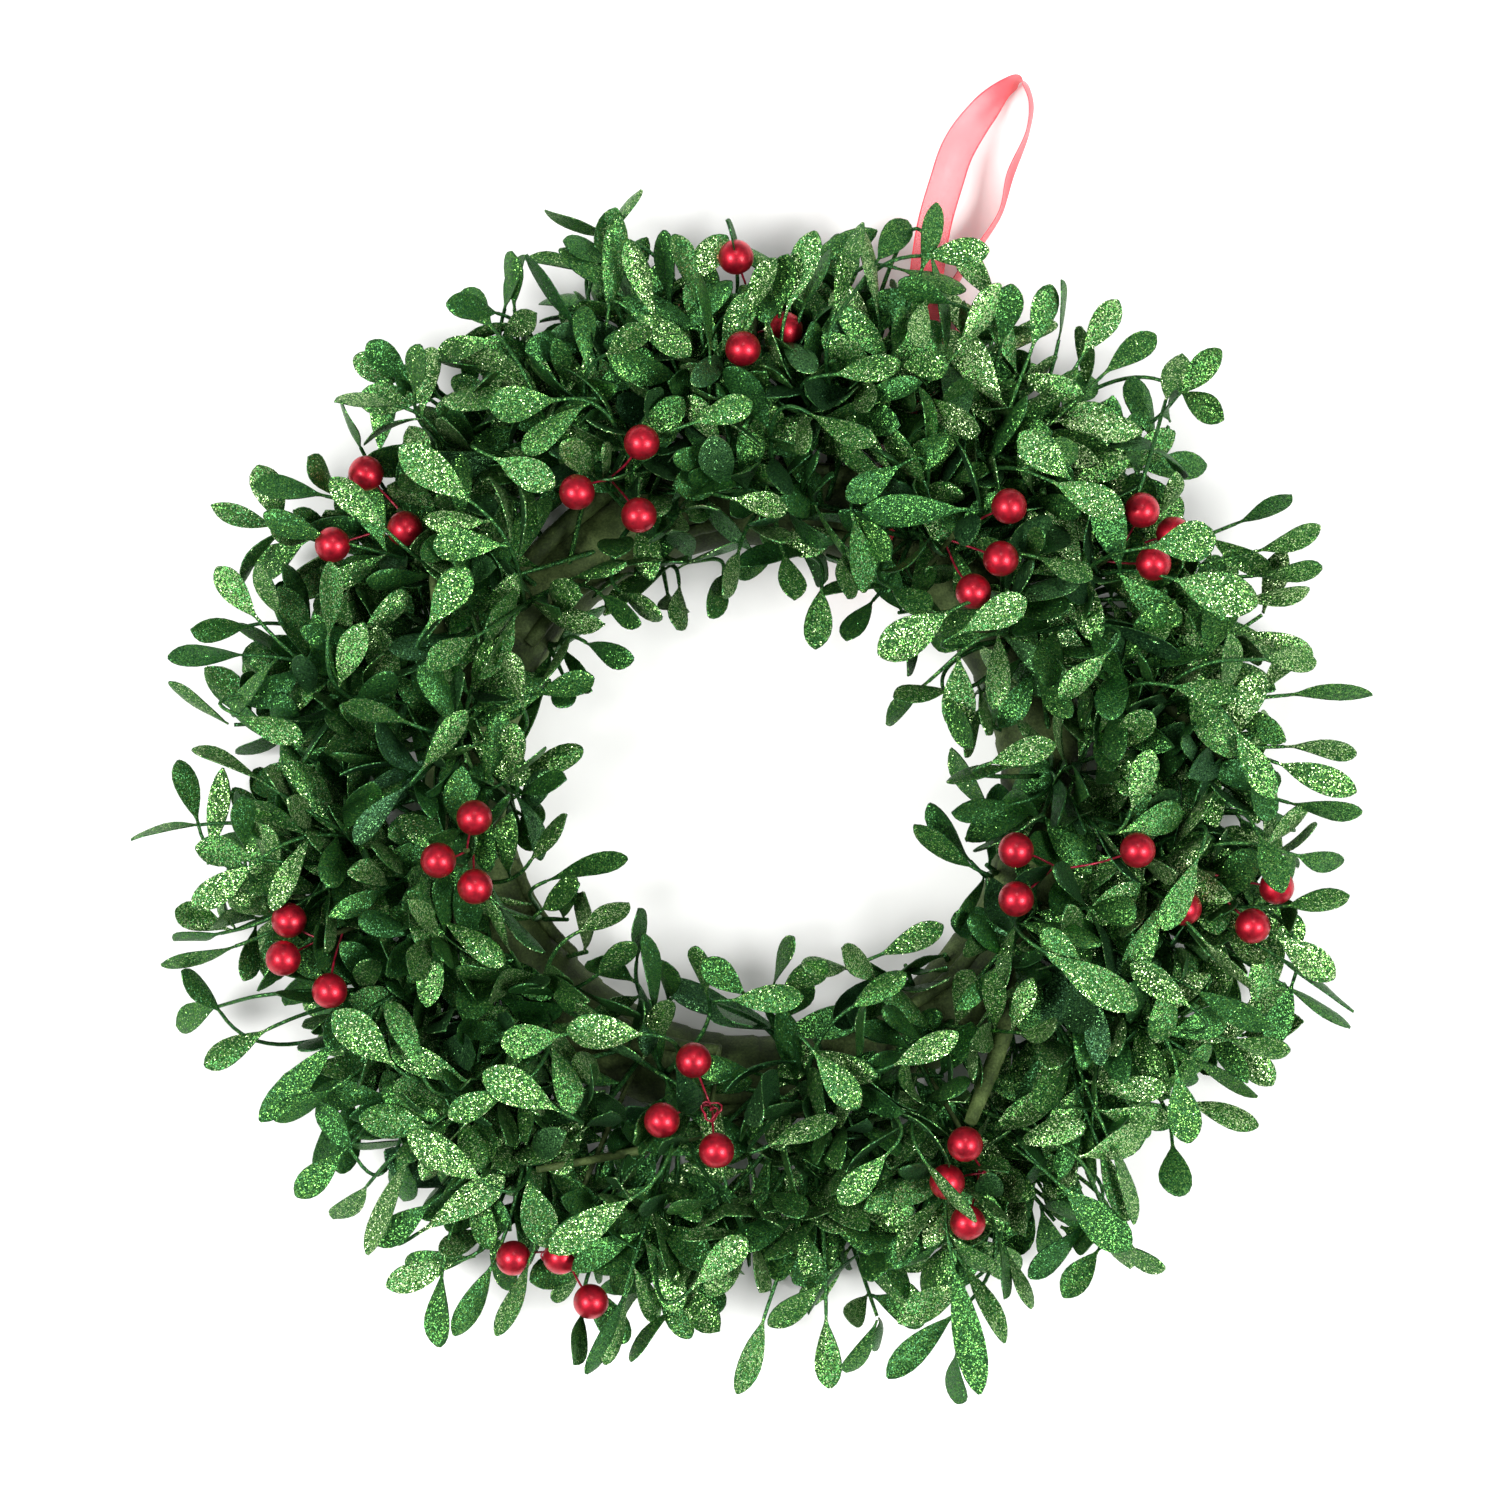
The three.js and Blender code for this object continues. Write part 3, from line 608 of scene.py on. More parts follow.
def layTapedStem(shape, azimuth, section, sweep, radius, lift):
    stops = []
    for share in (0, 0.35, 0.7, 1):
        reach = wreath["tubeRadius"] - tapedStems["sunk"] + lift * share * share
        stops.append(ringPoint(azimuth + sweep * share, section, reach))
    path = smoothPath(stops, steps=14)
    along = lengthAlong(path)
    lap = (along / tapedStems["lapLength"]) % 1.0
    radii = radius * (1 - tapedStems["taper"] * (along / along[-1]) ** 3) + tapedStems["lap"] * lap
    shape.add(*tubeAlong(path, radii, tapedStems["sides"]))
    fill(path, ringMark)


def fillRing():
    # marks the inside of the tube, by steps that are finer than a cell
    for azimuth in np.arange(0, 360, 0.8):
        for section in range(0, 360, 6):
            fill([ringPoint(azimuth, section, reach) for reach in ring["filled"]], ringMark)


def keepClearings():
    for across, down, radius in clearings:
        spot = photoPoint(across, down, 0) * (1, 1, 0)
        clearColumn(spot, radius, 2 * wreath["tubeHeight"] + 3, wreath["highestLeaf"])


def makeRing():
    shape = Shape()
    windTape(shape)
    fillRing()
    for index in range(tapedStems["count"]):
        section = wreath["stemSections"][index % 2]
        sweep = tapedStems["sweep"] * (1 if index % 4 < 2 else -1)
        start = 360 * index / tapedStems["count"] + tapedStems["first"]
        layTapedStem(shape, start, section, sweep, tapedStems["radius"], tapedStems["lift"])
    for stem in looseStems:
        layTapedStem(shape, *stem)
    keepClearings()
    finishPiece(shape.build("baseRing", [finish["tape"]], sharpAngle=60), "base_ring")
    print("ring wound")


makeRing()


# Ribbon: one band looped round the ring, its two strands meeting in a fold at the top
ribbon = {
    "width": 10,
    "thickness": 0.22,
    "selvedge": 0.3,  # width of the close-woven edge
    "edgeBlend": 0.12,  # and of its fade into the open cloth
    "azimuth": 65,
    "steps": 288,
    "floor": 0.05,  # the lowest that it comes
    "curl": (0.5, 0.11),  # how far it bows across, and how fast that changes along it
    "turnEase": 0.3,  # how softly it turns from stop to stop
    # the turn from which the cloth lies open, over how many degrees before it it gathers, and how tightly
    "bunched": (50, 34, 0.95),
    "gathered": (149, 168, 0.5),  # drawn together from here in to the ring, from the wreath's axis
    # [from the wreath's axis, height, turn of its width from upright]
    "wrap": [
        [101, 22.5, 90], [90, 24.7, 90], [78, 24.8, 90], [71.2, 18.2, 90],
        [71.1, 7.4, 90], [76, 2.2, 90], [90, 0.9, 90], [101, 1.2, 84],
    ],
    # [across, up, height, turn]
    "loop": [
        [50, 105, 4.2, 45], [57, 119, 5.6, 20], [59.4, 135, 5.6, 15], [57.4, 146, 5.6, 13],
        [64.5, 158, 5.6, 8], [71.5, 169, 5.6, 7], [74.4, 180, 5.6, 13], [79.6, 193, 5.6, 7],
        [80.4, 202, 5.6, 12], [77.6, 207.6, 5.6, 24], [73.4, 205.8, 5.8, 30], [66.2, 198.3, 6.4, 58],
        [59.2, 187.9, 8.2, 82], [55.4, 177, 11, 90], [52, 165, 14.5, 90], [49.6, 150, 18.5, 90],
        [47, 126, 22.4, 90],
    ],
}


def closedCurve(stops, share, ease=None):
    # a point on the closed curve through the stops, at a share of its count of stops: drawn evenly
    # through places, or with a set ease between plain numbers
    count = len(stops)
    whole = int(share * count)
    t = share * count - whole
    a, b, c, d = [stops[(whole + k) % count] for k in (-1, 0, 1, 2)]
    if ease is None:
        gaps = [np.linalg.norm(q - p) ** 0.5 for p, q in ((a, b), (b, c), (c, d))]
        start = ((b - a) / gaps[0] - (c - a) / (gaps[0] + gaps[1]) + (c - b) / gaps[1]) * gaps[1]
        end = ((c - b) / gaps[1] - (d - b) / (gaps[1] + gaps[2]) + (d - c) / gaps[2]) * gaps[1]
    else:
        start, end = ease * (c - a), ease * (d - b)
    return b + start * t + (3 * (c - b) - 2 * start - end) * t * t + (2 * (b - c) + start + end) * t ** 3


def ribbonRows():
    # the ribbon's cross-sections, a top and an under row of points for each step, how bunched each step
    # is, where the columns lie across it, and its length
    out, along = ringFrame(ribbon["azimuth"])
    stops = [wreathPoint(out[0] * away, out[1] * away, height) for away, height, _ in ribbon["wrap"]]
    stops += [wreathPoint(across, up, height) for across, up, height, _ in ribbon["loop"]]
    turns = [stop[-1] for stop in ribbon["wrap"] + ribbon["loop"]]
    steps = ribbon["steps"]
    path = np.array([closedCurve(stops, i / steps) for i in range(steps)])
    before, after = np.roll(path, 1, axis=0), np.roll(path, -1, axis=0)
    length = float(np.sum(np.linalg.norm(after - path, axis=1)))
    ahead = (after - before) / np.linalg.norm(after - before, axis=1)[:, None]
    half = ribbon["width"] / 2
    edge = half - ribbon["selvedge"]
    columns = np.array([edge / 2, edge - ribbon["edgeBlend"], edge, half])
    columns = np.concatenate([-columns[::-1], [0], columns])
    flatTurn, over, most = ribbon["bunched"]
    bow, pace = ribbon["curl"]
    rows, bunched = [], []
    for i in range(steps):
        degrees = min(90, max(0, closedCurve(turns, i / steps, ribbon["turnEase"])))
        bunched.append(most * min(1, max(0, (flatTurn - degrees) / over)))
        turn = math.radians(degrees)
        across = np.array([0, 0, math.cos(turn)]) + along * math.sin(turn)
        across = unit(across - ahead[i] * np.dot(across, ahead[i]))
        face = np.cross(ahead[i], across)
        bowed = bow * math.sin(i * pace) * (1 - (columns / half) ** 2)
        for side in (0.5, -0.5):
            depth = (bowed + side * ribbon["thickness"])[:, None]
            rows.append(path[i] + columns[:, None] * across + depth * face)
    points = np.concatenate(rows)
    points[:, 2] = np.maximum(points[:, 2], ribbon["floor"])
    near, far, most = ribbon["gathered"]
    away = np.hypot(path[:, 0] - wreath["axis"][0], path[:, 1] - wreath["axis"][1])
    bunched = np.maximum(bunched, np.interp(away, [near, far], [most, 0]))
    return points, bunched, columns, length


def makeRibbon():
    points, bunched, columns, length = ribbonRows()
    steps, wide = ribbon["steps"], len(columns)
    last = wide - 1
    faces = []
    for i in range(steps):
        top, under = 2 * i * wide, (2 * i + 1) * wide
        nextTop, nextUnder = [(2 * ((i + 1) % steps) + k) * wide for k in (0, 1)]
        for k in range(last):
            faces.append([top + k, nextTop + k, nextTop + k + 1, top + k + 1])
            faces.append([under + k + 1, nextUnder + k + 1, nextUnder + k, under + k])
        faces.append([under, nextUnder, nextTop, top])
        faces.append([top + last, nextTop + last, nextUnder + last, under + last])
    woven = np.abs(columns) > ribbon["width"] / 2 - ribbon["selvedge"] - 0.01
    shape = Shape()
    shape.add(points, faces, selvedge=np.maximum(np.tile(woven, 2 * steps), np.repeat(bunched, 2 * wide)))
    piece = shape.build("ribbonLoop", [finish["ribbon"]], sharpAngle=70)
    layer = piece.data.uv_layers.new(name="weave")
    corners = np.zeros(len(piece.data.loops), np.int32)
    piece.data.loops.foreach_get("vertex_index", corners)
    places = np.stack([corners // (2 * wide) * length / steps, columns[corners % wide]], axis=1)
    layer.data.foreach_set("uv", places.ravel())
    finishPiece(piece, "ribbon_loop")
    fill(points, ribbonMark)
    print("ribbon looped,", round(length), "mm long")


makeRibbon()


# Berry picks: a stem out of the ring that parts into three wires, each with a berry on its end
berries = {
    "radius": 5.1,
    "rings": 22,
    "segments": 36,
    "uneven": 0.012,  # no berry is quite round
    "dimple": (0.045, 0.45),  # where the wire goes in: how wide, as a share of the berry, and how deep
    "stemRadius": 0.75,
    "stemDepth": 5,
    "stemRise": 8,
    "turns": [0, 3, -3, 6, -6, 9, -9, 12, -12, 15, -15, 18, -18],  # where round the ring a stem may stand
    "wireRadius": 0.34,
    "sides": 8,
    "parting": (0.04, 0.09),  # how far down the stem the first wire leaves it, and each next one after
    "bow": 2.2,
    "sway": 0.9,
    # leaves don't stand in front of a berry, but they may lap over one that lies deep
    "sight": 3.7,  # radius of the clear column over a berry
    "deep": -3,
    "deepSight": 0.45,
    "sightHeights": (3, 42),
    # picks whose spare wire is curled up at the fork
    "curled": [7, 11],
    "curl": {
        "radius": 3.3,
        "uneven": (0.85, 0.2, 3.1),  # the share of the radius that it has, and how far and fast that varies
        "turns": 2.3,
        "above": 1.5,
        "rise": 3,
        "wave": (0.8, 2.3),  # up and down: how far, and how fast
        "thickness": 0.8,  # as a share of the other wires'
        "steps": 44,
    },
    # where the wires part, and the berries, as [across, up, above or below the leaf tops]
    "picks": [
        {"fork": [0, 138, -14], "berries": [[-5.8, 153.8, 2], [8.4, 132.9, -8], [-3.8, 126.9, -2]]},
        {"fork": [-42, 90, -9], "berries": [[-32.7, 99.7, 2], [-51.2, 85.5, 1], [-33.5, 78.9, 2]]},
        {"fork": [-103, 81, -8], "berries": [[-112.1, 91.3, 2], [-121.7, 70.8, 0], [-101, 75.5, -9]]},
        {"fork": [57, 74, -8], "berries": [[72.3, 81.5, 1], [69.9, 66.5, 1], [62.1, 57.2, 0]]},
        {"fork": [106, 70, -9], "berries": [[110.7, 80.6, 2], [120.2, 74, -6], [113.9, 65.4, 1]]},
        {"fork": [-83.5, -17, -9], "berries": [[-80.6, -7.5, 1], [-90.8, -19.7, 2], [-80.3, -27.2, 1]]},
        {"fork": [-127, -43, -8], "berries": [[-134.4, -37.2, -4], [-135.8, -48, 3], [-122.3, -57.2, 1]]},
        {"fork": [-13, -91.5, -9], "berries": [[-17.9, -76.9, 1], [-26.9, -93.9, 2], [-11.3, -102.6, 1]]},
        {"fork": [89, -23, -8], "berries": [[74.3, -16.8, 1], [109, -16.8, 2], [74.3, -30.8, 1]]},
        {"fork": [132, -24, -9], "berries": [[150, -27.6, 0], [142.8, -38.8, 2], [122.8, -33.5, -4]]},
        {"fork": [69, -114, -9], "berries": [[59.8, -100.9, 1], [54.8, -112, -3], [60.7, -123.7, 2]]},
        {"fork": [-59, -135, -9], "berries": [[-70, -134.7, -2], [-47.6, -147.1, 2], [-56.4, -134.4, -7]]},
    ],
}


def berryPoint(spot):
    return wreathPoint(spot[0], spot[1], leafTops(spot[0], spot[1]) + spot[2])


def berryStemRoot(pick, node):
    # the spot round the ring where the node's own stem stands
    points = nodePoints(node)
    middle = math.degrees(math.atan2(pick["fork"][1], pick["fork"][0]))
    outside = math.hypot(*pick["fork"][:2]) > wreath["ringRadius"] + wreath["tubeRadius"]
    section = wreath["stemSections"][0 if outside else 1]
    deep = wreath["tubeHeight"] - berries["stemDepth"]
    turn = min(berries["turns"], key=lambda t: nearest(points, ringPoint(middle + t, section, deep)))
    return middle + turn, section


def keepSight(spot):
    radius = berries["sight"] if spot[2] > berries["deep"] else berries["deepSight"] * berries["sight"]
    clearColumn(berryPoint(spot), radius, *berries["sightHeights"])


def curledWire(fork, draw):
    # an uneven curl that starts and ends by the fork
    curl = berries["curl"]
    turn = np.linspace(0, 2 * math.pi * curl["turns"], curl["steps"])
    share = np.linspace(0, 1, curl["steps"])
    kept, varied, pace = curl["uneven"]
    radius = curl["radius"] * np.sin(math.pi * share) ** 0.5 * (kept + varied * np.sin(pace * turn + draw()))
    wave, pace = curl["wave"]
    height = curl["above"] + curl["rise"] * share + wave * np.sin(pace * turn)
    return fork + np.stack([radius * np.cos(turn), radius * np.sin(turn), height], axis=-1)


def berryPick(pick, index, root):
    deep = ringPoint(*root, wreath["tubeHeight"] - berries["stemDepth"])
    lift = ringPoint(*root, wreath["tubeHeight"] + berries["stemRise"])
    fork = berryPoint(pick["fork"])
    draw = seededDraws(seeds["berryPick"] + index)
    sides, sway = berries["sides"], berries["sway"]
    shape = Shape()
    path = smoothPath([deep, lift, fork], steps=10)
    shape.add(*tubeAlong(path, berries["stemRadius"], sides), slot=2)
    fill(path, berryMark)
    if index in berries["curled"]:
        thin = berries["wireRadius"] * berries["curl"]["thickness"]
        shape.add(*tubeAlong(curledWire(fork, draw), thin, sides), slot=1)
    ball, ballFaces = ballPoints(berries["radius"], berries["rings"], berries["segments"])
    dimpleWidth, dimpleDepth = berries["dimple"]
    for order, spot in enumerate(pick["berries"]):
        centre = berryPoint(spot)
        start = fork + (lift - fork) * (berries["parting"][0] + berries["parting"][1] * order)
        bow = 0.5 * (start + centre) + (sway * draw(), sway * draw(), -berries["bow"])
        wire = smoothPath([start, bow, centre], steps=12)
        shape.add(*tubeAlong(wire, berries["wireRadius"], sides), slot=1)
        fill(wire, berryMark)
        into = unit(wire[-6] - centre)
        sunk = np.clip((ball @ into) / berries["radius"] - 1 + dimpleWidth, 0, 1) / dimpleWidth
        waves = ball @ np.array([0.5 + 0.2 * draw(), 0.4, 0.3 + 0.2 * draw()])
        swell = 1 + berries["uneven"] * np.sin(waves)
        shape.add(centre + ball * swell[:, None] - np.outer(sunk * dimpleDepth, into), ballFaces, slot=0)
        fill(centre + ball, berryMark)
    for spot in pick["berries"]:
        keepSight(spot)
    return shape


def makeBerryPicks():
    for index, pick in enumerate(berries["picks"]):
        node = f"berry_pick_{index + 1}"
        shape = berryPick(pick, index, berryStemRoot(pick, node))
        materials = [finish["berry"], finish["wire"], finish["tape"]]
        piece = shape.build(f"berryPick{index + 1}", materials, sharpAngle=60)
        finishPiece(piece, node)
    print("berries set")


makeBerryPicks()


# Leafy picks: stems of moulded leaves in opposite pairs. The sprigs of the photograph come first, then each
# pick's own, then the shorter ones that fill in round them
leaf = {
    "length": 24.5,
    "halfWidth": 4.8,
    "thickness": (0.62, 0.35),  # and the share of it that is lost at the edges
    "neck": 0.06,  # share of the length that is stalk
    "neckWidth": 0.5,
    "angle": 48,
    "lifts": (24, -4),  # of a pair's two leaves, by turns
    "steepest": 58,
    "endLift": 6,
    "firstPair": 0.26,  # share of the stem
    "lastPair": 3,  # from its end
    "pairGap": 8.2,
    "spread": {"place": 0.8, "angle": 12, "lift": 20, "roll": 54, "length": 3, "halfWidth": 1},
    "young": (0.6, 0.4),  # past this share of the stem the leaves get smaller, by so much a length of it
    "twist": 0.5,
    # how slowly the blade widens from its base and narrows to its tip, with the spread of each
    "base": (0.9, 0.2),
    "tip": (0.66, 0.16),
    "curl": (0.15, 0.8),  # the least and the spread
    "cup": 0.34,
    "cupCurve": 1.4,  # how much of the cup is out at the edges
    "drawnIn": 0.12,  # how much of the width a full cup takes
    "twistFrom": 0.3,  # share of the length where the twist sets in
    "wave": (0.3, 8),  # of its edges: how high, and how fast along it
    "rows": [0, 0.06, 0.13, 0.22, 0.34, 0.48, 0.62, 0.75, 0.86, 0.94, 0.985, 1],
    "columns": [-1, -0.55, 0, 0.55, 1],
    "testRows": (0.26, 14),  # room is looked for from this share of the length on, at so many rows
    "testColumns": 7,
    "mostClashes": 7,  # cells that a leaf may share with others where nothing else fits
    "sightWeight": 6,  # how many of them a cell that is kept clear counts for
}
sprigStem = {
    "radius": 0.85,
    "tipRadius": 0.55,
    "sides": 7,
    "sag": 0.0018,
    "depth": 5,  # how far it goes into the ring
    "leafRoot": 0.4,  # how far from its middle a side leaf starts, as a share of its radius
    "sideStart": 4,
    "steps": 18,
    "endLeft": 1.5,  # how much of it shows past its last leaf
}
# leaves seen face on get a lighter tint, a painted highlight for facing the lamps
tints = {"sprig": 0.08, "leaf": 0.13, "stem": -0.1, "stemUnder": 0.3, "paintedLitLeaf": (0.06, 0.05)}
spreads = {"yaw": 13, "rise": 8, "lean": 34, "length": 0.08}
fillerSpreads = {"turn": 3, "section": 9, "yaw": 16.9, "rise": 9.6, "lean": 55, "length": 0.128}
rows = [
    {
        "name": "outer", "count": 16, "section": 24, "first": 9,
        "sprigs": [{"yaw": 15, "rise": 8, "length": 71}, {"yaw": -30, "rise": 38, "length": 44}],
        "fillers": [
            {"turn": 7, "yaw": -14, "rise": 18, "length": 52},
            {"turn": -4, "yaw": -44, "rise": 12, "length": 46},
            {"turn": -11, "yaw": 6, "rise": 5, "length": 52},
        ],
    },
    {
        "name": "front", "count": 13, "section": 82, "first": 3,
        "sprigs": [{"yaw": 34, "rise": 50, "length": 33}, {"yaw": -104, "rise": 48, "length": 25}],
        "fillers": [
            {"turn": -7, "yaw": 0, "rise": 40, "length": 40},
            {"turn": 11, "yaw": 80, "rise": 30, "length": 36},
            {"turn": -11, "yaw": -62, "rise": 32, "length": 38},
        ],
    },
    {
        "name": "inner", "count": 11, "section": 150, "first": 14,
        "sprigs": [{"yaw": 148, "rise": 41, "length": 15}],
        "fillers": [{"turn": 8, "yaw": 150, "rise": 62, "length": 20}],
    },
]
# ways of turning a sprig's stem that its node may have used, as more yaw and more rise
stemBends = [(0, 0), (8, 4), (-8, 4), (15, 0), (-15, 8), (22, 8), (-22, 10), (4, 15)]
# ways of bending a leaf out of another's path, as more lift and more roll
leafBends = [(0, 0), (16, 0), (-16, 0), (30, 10), (-26, -12), (0, 32), (0, -32), (36, 18)]

# every pick: its node's name, its row, the azimuth of its root and its seed
picks = [
    (f"{row['name']}_pick_{index + 1}", row, row["first"] + 360 * index / row["count"], 100 * place + index)
    for place, row in enumerate(rows, 1) for index in range(row["count"])
]


def upFrom(heading, lean):
    # the way that a stem or a leaf faces: upwards, then leant about its own heading
    up = np.array([0.0, 0.0, 1.0])
    return turnedAbout(unit(up - heading * heading[2]), heading, lean)


def stemAlong(path, face, faceAt):
    # a stem on a path that starts inside the ring, its facing carried along from one point of the path
    ways = waysAlong(path)
    faces = np.zeros_like(path)
    for order in (range(faceAt, len(path)), range(faceAt, -1, -1)):
        turned = face
        for i in order:
            turned = unit(turned - ways[i] * np.dot(turned, ways[i]))
            faces[i] = turned
    along = lengthAlong(path) - sprigStem["depth"]
    return {"path": path, "ways": ways, "faces": faces, "along": along, "length": along[-1]}


def makeStem(root, azimuth, yaw, rise, lean, length):
    out, along = ringFrame(azimuth)
    level = out * math.cos(math.radians(yaw)) + along * math.sin(math.radians(yaw))
    heading = level * math.cos(math.radians(rise)) + np.array([0, 0, math.sin(math.radians(rise))])
    s = np.linspace(-sprigStem["depth"], length, sprigStem["steps"])
    path = root + heading * s[:, None] - np.outer(0.5 * sprigStem["sag"] * s * s, (0, 0, 1))
    return stemAlong(path, upFrom(heading, lean), 0)


def stemAt(stem, s):
    # a point of the stem, with the ways ahead, up and to the left there
    at, ahead, face = [
        np.array([np.interp(s, stem["along"], stem[row][:, k]) for k in range(3)])
        for row in ("path", "ways", "faces")
    ]
    return at, unit(ahead), unit(face), unit(np.cross(face, ahead))


def leafOutline(t, base, tip):
    # half width along the leaf as a share of its widest: a narrow stalk, then a blunt-tipped blade
    u = np.clip((t - leaf["neck"]) / (1 - leaf["neck"]), 0, 1)
    widest = base / (base + 2 * tip)
    blade = u ** base * (1 - u * u) ** tip / (widest ** (base / 2) * (1 - widest) ** tip)
    return np.maximum(blade, leaf["neckWidth"] / leaf["halfWidth"])


def leafFaces():
    count, wide = len(leaf["rows"]), len(leaf["columns"])
    under = count * wide
    last = (count - 1) * wide
    faces = []
    for i in range(count - 1):
        for k in range(wide - 1):
            a = i * wide + k
            faces.append([a, a + wide, a + wide + 1, a + 1])
            faces.append([under + a + 1, under + a + wide + 1, under + a + wide, under + a])
        left, right = i * wide, i * wide + wide - 1
        faces.append([under + left, under + left + wide, left + wide, left])
        faces.append([right, right + wide, under + right + wide, under + right])
    for k in range(wide - 1):
        faces.append([last + k, under + last + k, under + last + k + 1, last + k + 1])
        faces.append([k + 1, under + k + 1, under + k, k])
    return faces


leafMeshFaces = leafFaces()
mirroredFaces = [face[::-1] for face in leafMeshFaces]
meshGrid = np.meshgrid(leaf["rows"], leaf["columns"], indexing="ij")
testFrom, testRows = leaf["testRows"]
testShares = np.linspace(testFrom, 1, testRows), np.linspace(-1, 1, leaf["testColumns"])
testGrid = np.meshgrid(*testShares, indexing="ij")


def leafAxes(stem, blade, lift, roll):
    # the leaf's root, with the ways along it, across it and up from it
    at, ahead, face, left = stemAt(stem, blade["s"])
    out = left * blade["side"]
    turn, up, over = [math.radians(a) for a in (blade["angle"], lift, roll)]
    level = ahead * math.cos(turn) + out * math.sin(turn)
    beside = ahead * math.sin(turn) - out * math.cos(turn)
    raised = level * math.cos(up) + face * math.sin(up)
    top = face * math.cos(up) - level * math.sin(up)
    across = beside * math.cos(over) + top * math.sin(over)
    top = top * math.cos(over) - beside * math.sin(over)
    # a side leaf starts at the side of the stem
    root = at + out * (sprigStem["leafRoot"] * sprigStem["radius"] if blade["angle"] > 0 else 0)
    return root, np.array([raised, across * blade["side"], top])


def leafSheet(blade, t, s):
    # the leaf's middle surface in its own millimetres: arched along, cupped across, which draws its sides
    # in, twisted, and a little wavy at the edges
    bend = blade["curl"]
    wave, pace = leaf["wave"]
    half = blade["halfWidth"] * leafOutline(t, blade["base"], blade["tip"])
    x = blade["length"] * np.sin(bend * t) / bend
    y = half * s * (1 - leaf["drawnIn"] * abs(blade["cup"]))
    z = -blade["length"] * (1 - np.cos(bend * t)) / bend
    z = z + blade["cup"] * half * np.abs(s) ** leaf["cupCurve"]
    z = z + wave * np.sin(pace * t + blade["phase"]) * s * s * t
    twist = blade["twist"] * (t - leaf["twistFrom"])
    y, z = y * np.cos(twist), z + y * np.sin(twist)
    return x, y, z


def leafPoints(root, axes, blade):
    x, y, z = leafSheet(blade, *meshGrid)
    thickness, lost = leaf["thickness"]
    half = 0.5 * thickness * (1 - lost * np.abs(meshGrid[1]) ** 3)
    layers = [np.stack([x, y, z + way * half], axis=-1).reshape(-1, 3) for way in (1, -1)]
    return root + np.concatenate(layers) @ axes


def testPoints(root, axes, blade):
    return root + np.stack(leafSheet(blade, *testGrid), axis=-1).reshape(-1, 3) @ axes


def withinBounds(points, blade, fills):
    across, up = points[:, 0] - wreath["axis"][0], points[:, 1] - wreath["axis"][1]
    away = np.hypot(across, up)
    limits = wreath["fill" if fills else "own"]
    inner = limits["hole"][0] + limits["hole"][1] * blade["fray"]
    outer = limits["rim"][0] - limits["rim"][1] * blade["fray"]
    ceiling = leafTops(across, up) + wreath["headroom"] if fills else wreath["highestLeaf"]
    return bool(
        away.min() > inner and away.max() < outer
        and points[:, 2].min() > wreath["lowestLeaf"] and np.all(points[:, 2] < ceiling)
    )


def pairSpots(first, last, gap, fewest):
    # how far along the stem its pairs of leaves stand
    pairs = max(fewest, round((last - first) / gap) + 1)
    return [first + (last - first) * pair / max(1, pairs - 1) for pair in range(pairs)]


def leafPlan(stem, spots, draw):
    # a pair of leaves at each spot and one at the end
    spread = leaf["spread"]
    plan = []
    for pair, spot in enumerate(spots):
        for side in (1, -1):
            raised = pair % 2 == (0 if side > 0 else 1)
            plan.append({
                "s": spot + spread["place"] * draw(),
                "side": side,
                "angle": leaf["angle"] + spread["angle"] * draw(),
                "lift": leaf["lifts"][0 if raised else 1] + spread["lift"] * draw(),
            })
    lift = leaf["endLift"] + spread["lift"] * draw()
    plan.append({"s": stem["length"], "side": 1, "angle": 0, "lift": lift})
    past, smaller = leaf["young"]
    for blade in plan:
        blade["fray"] = abs(draw())
        size = 1 - smaller * max(0, blade["s"] / stem["length"] - past)
        blade["roll"] = spread["roll"] * draw()
        blade["length"] = size * (leaf["length"] + spread["length"] * draw())
        blade["halfWidth"] = size * (leaf["halfWidth"] + spread["halfWidth"] * draw())
        curl = leaf["curl"][0] + leaf["curl"][1] * abs(draw())
        blade["curl"] = curl * (1 if draw() > -0.5 else -1)
        blade["cup"] = leaf["cup"] * draw()
        blade["phase"] = 3 * draw()
        blade["twist"] = leaf["twist"] * draw()
        blade["base"] = leaf["base"][0] + leaf["base"][1] * draw()
        blade["tip"] = leaf["tip"][0] + leaf["tip"][1] * draw()
    return plan


def settleLeaf(stem, blade, fills):
    # the first bend that is clear of what is there, or else the clearest
    best = None
    for lift, roll in leafBends:
        root, axes = leafAxes(stem, blade, min(leaf["steepest"], blade["lift"] + lift), blade["roll"] + roll)
        points = testPoints(root, axes, blade)
        if not withinBounds(points, blade, fills):
            continue
        found = taken[cellsOf(points)]
        count = np.count_nonzero(found) + leaf["sightWeight"] * np.count_nonzero(found == sightMark)
        if best is None or count < best[0]:
            best = (count, points, root, axes)
        if count == 0:
            break
    return best


def addSprig(shape, stem, settled, draw):
    # the stem ends at its last leaf, so that no bare end is left
    last = max(blade["s"] for blade, _ in settled)
    shown = stem["along"] <= last + sprigStem["endLeft"]
    shares = np.clip(stem["along"][shown] / stem["length"], 0, 1)
    radii = sprigStem["radius"] + (sprigStem["tipRadius"] - sprigStem["radius"]) * shares
    shade = tints["sprig"] * draw()
    tube = tubeAlong(stem["path"][shown], radii, sprigStem["sides"])
    shape.add(*tube, tint=shade + tints["stem"], under=tints["stemUnder"])
    for blade, points in settled:
        faces = leafMeshFaces if blade["side"] < 0 else mirroredFaces
        tint = blade.get("tint", shade + tints["leaf"] * draw())
        shape.add(points, faces, tint=tint, under=np.repeat([0.0, 1.0], meshGrid[0].size))


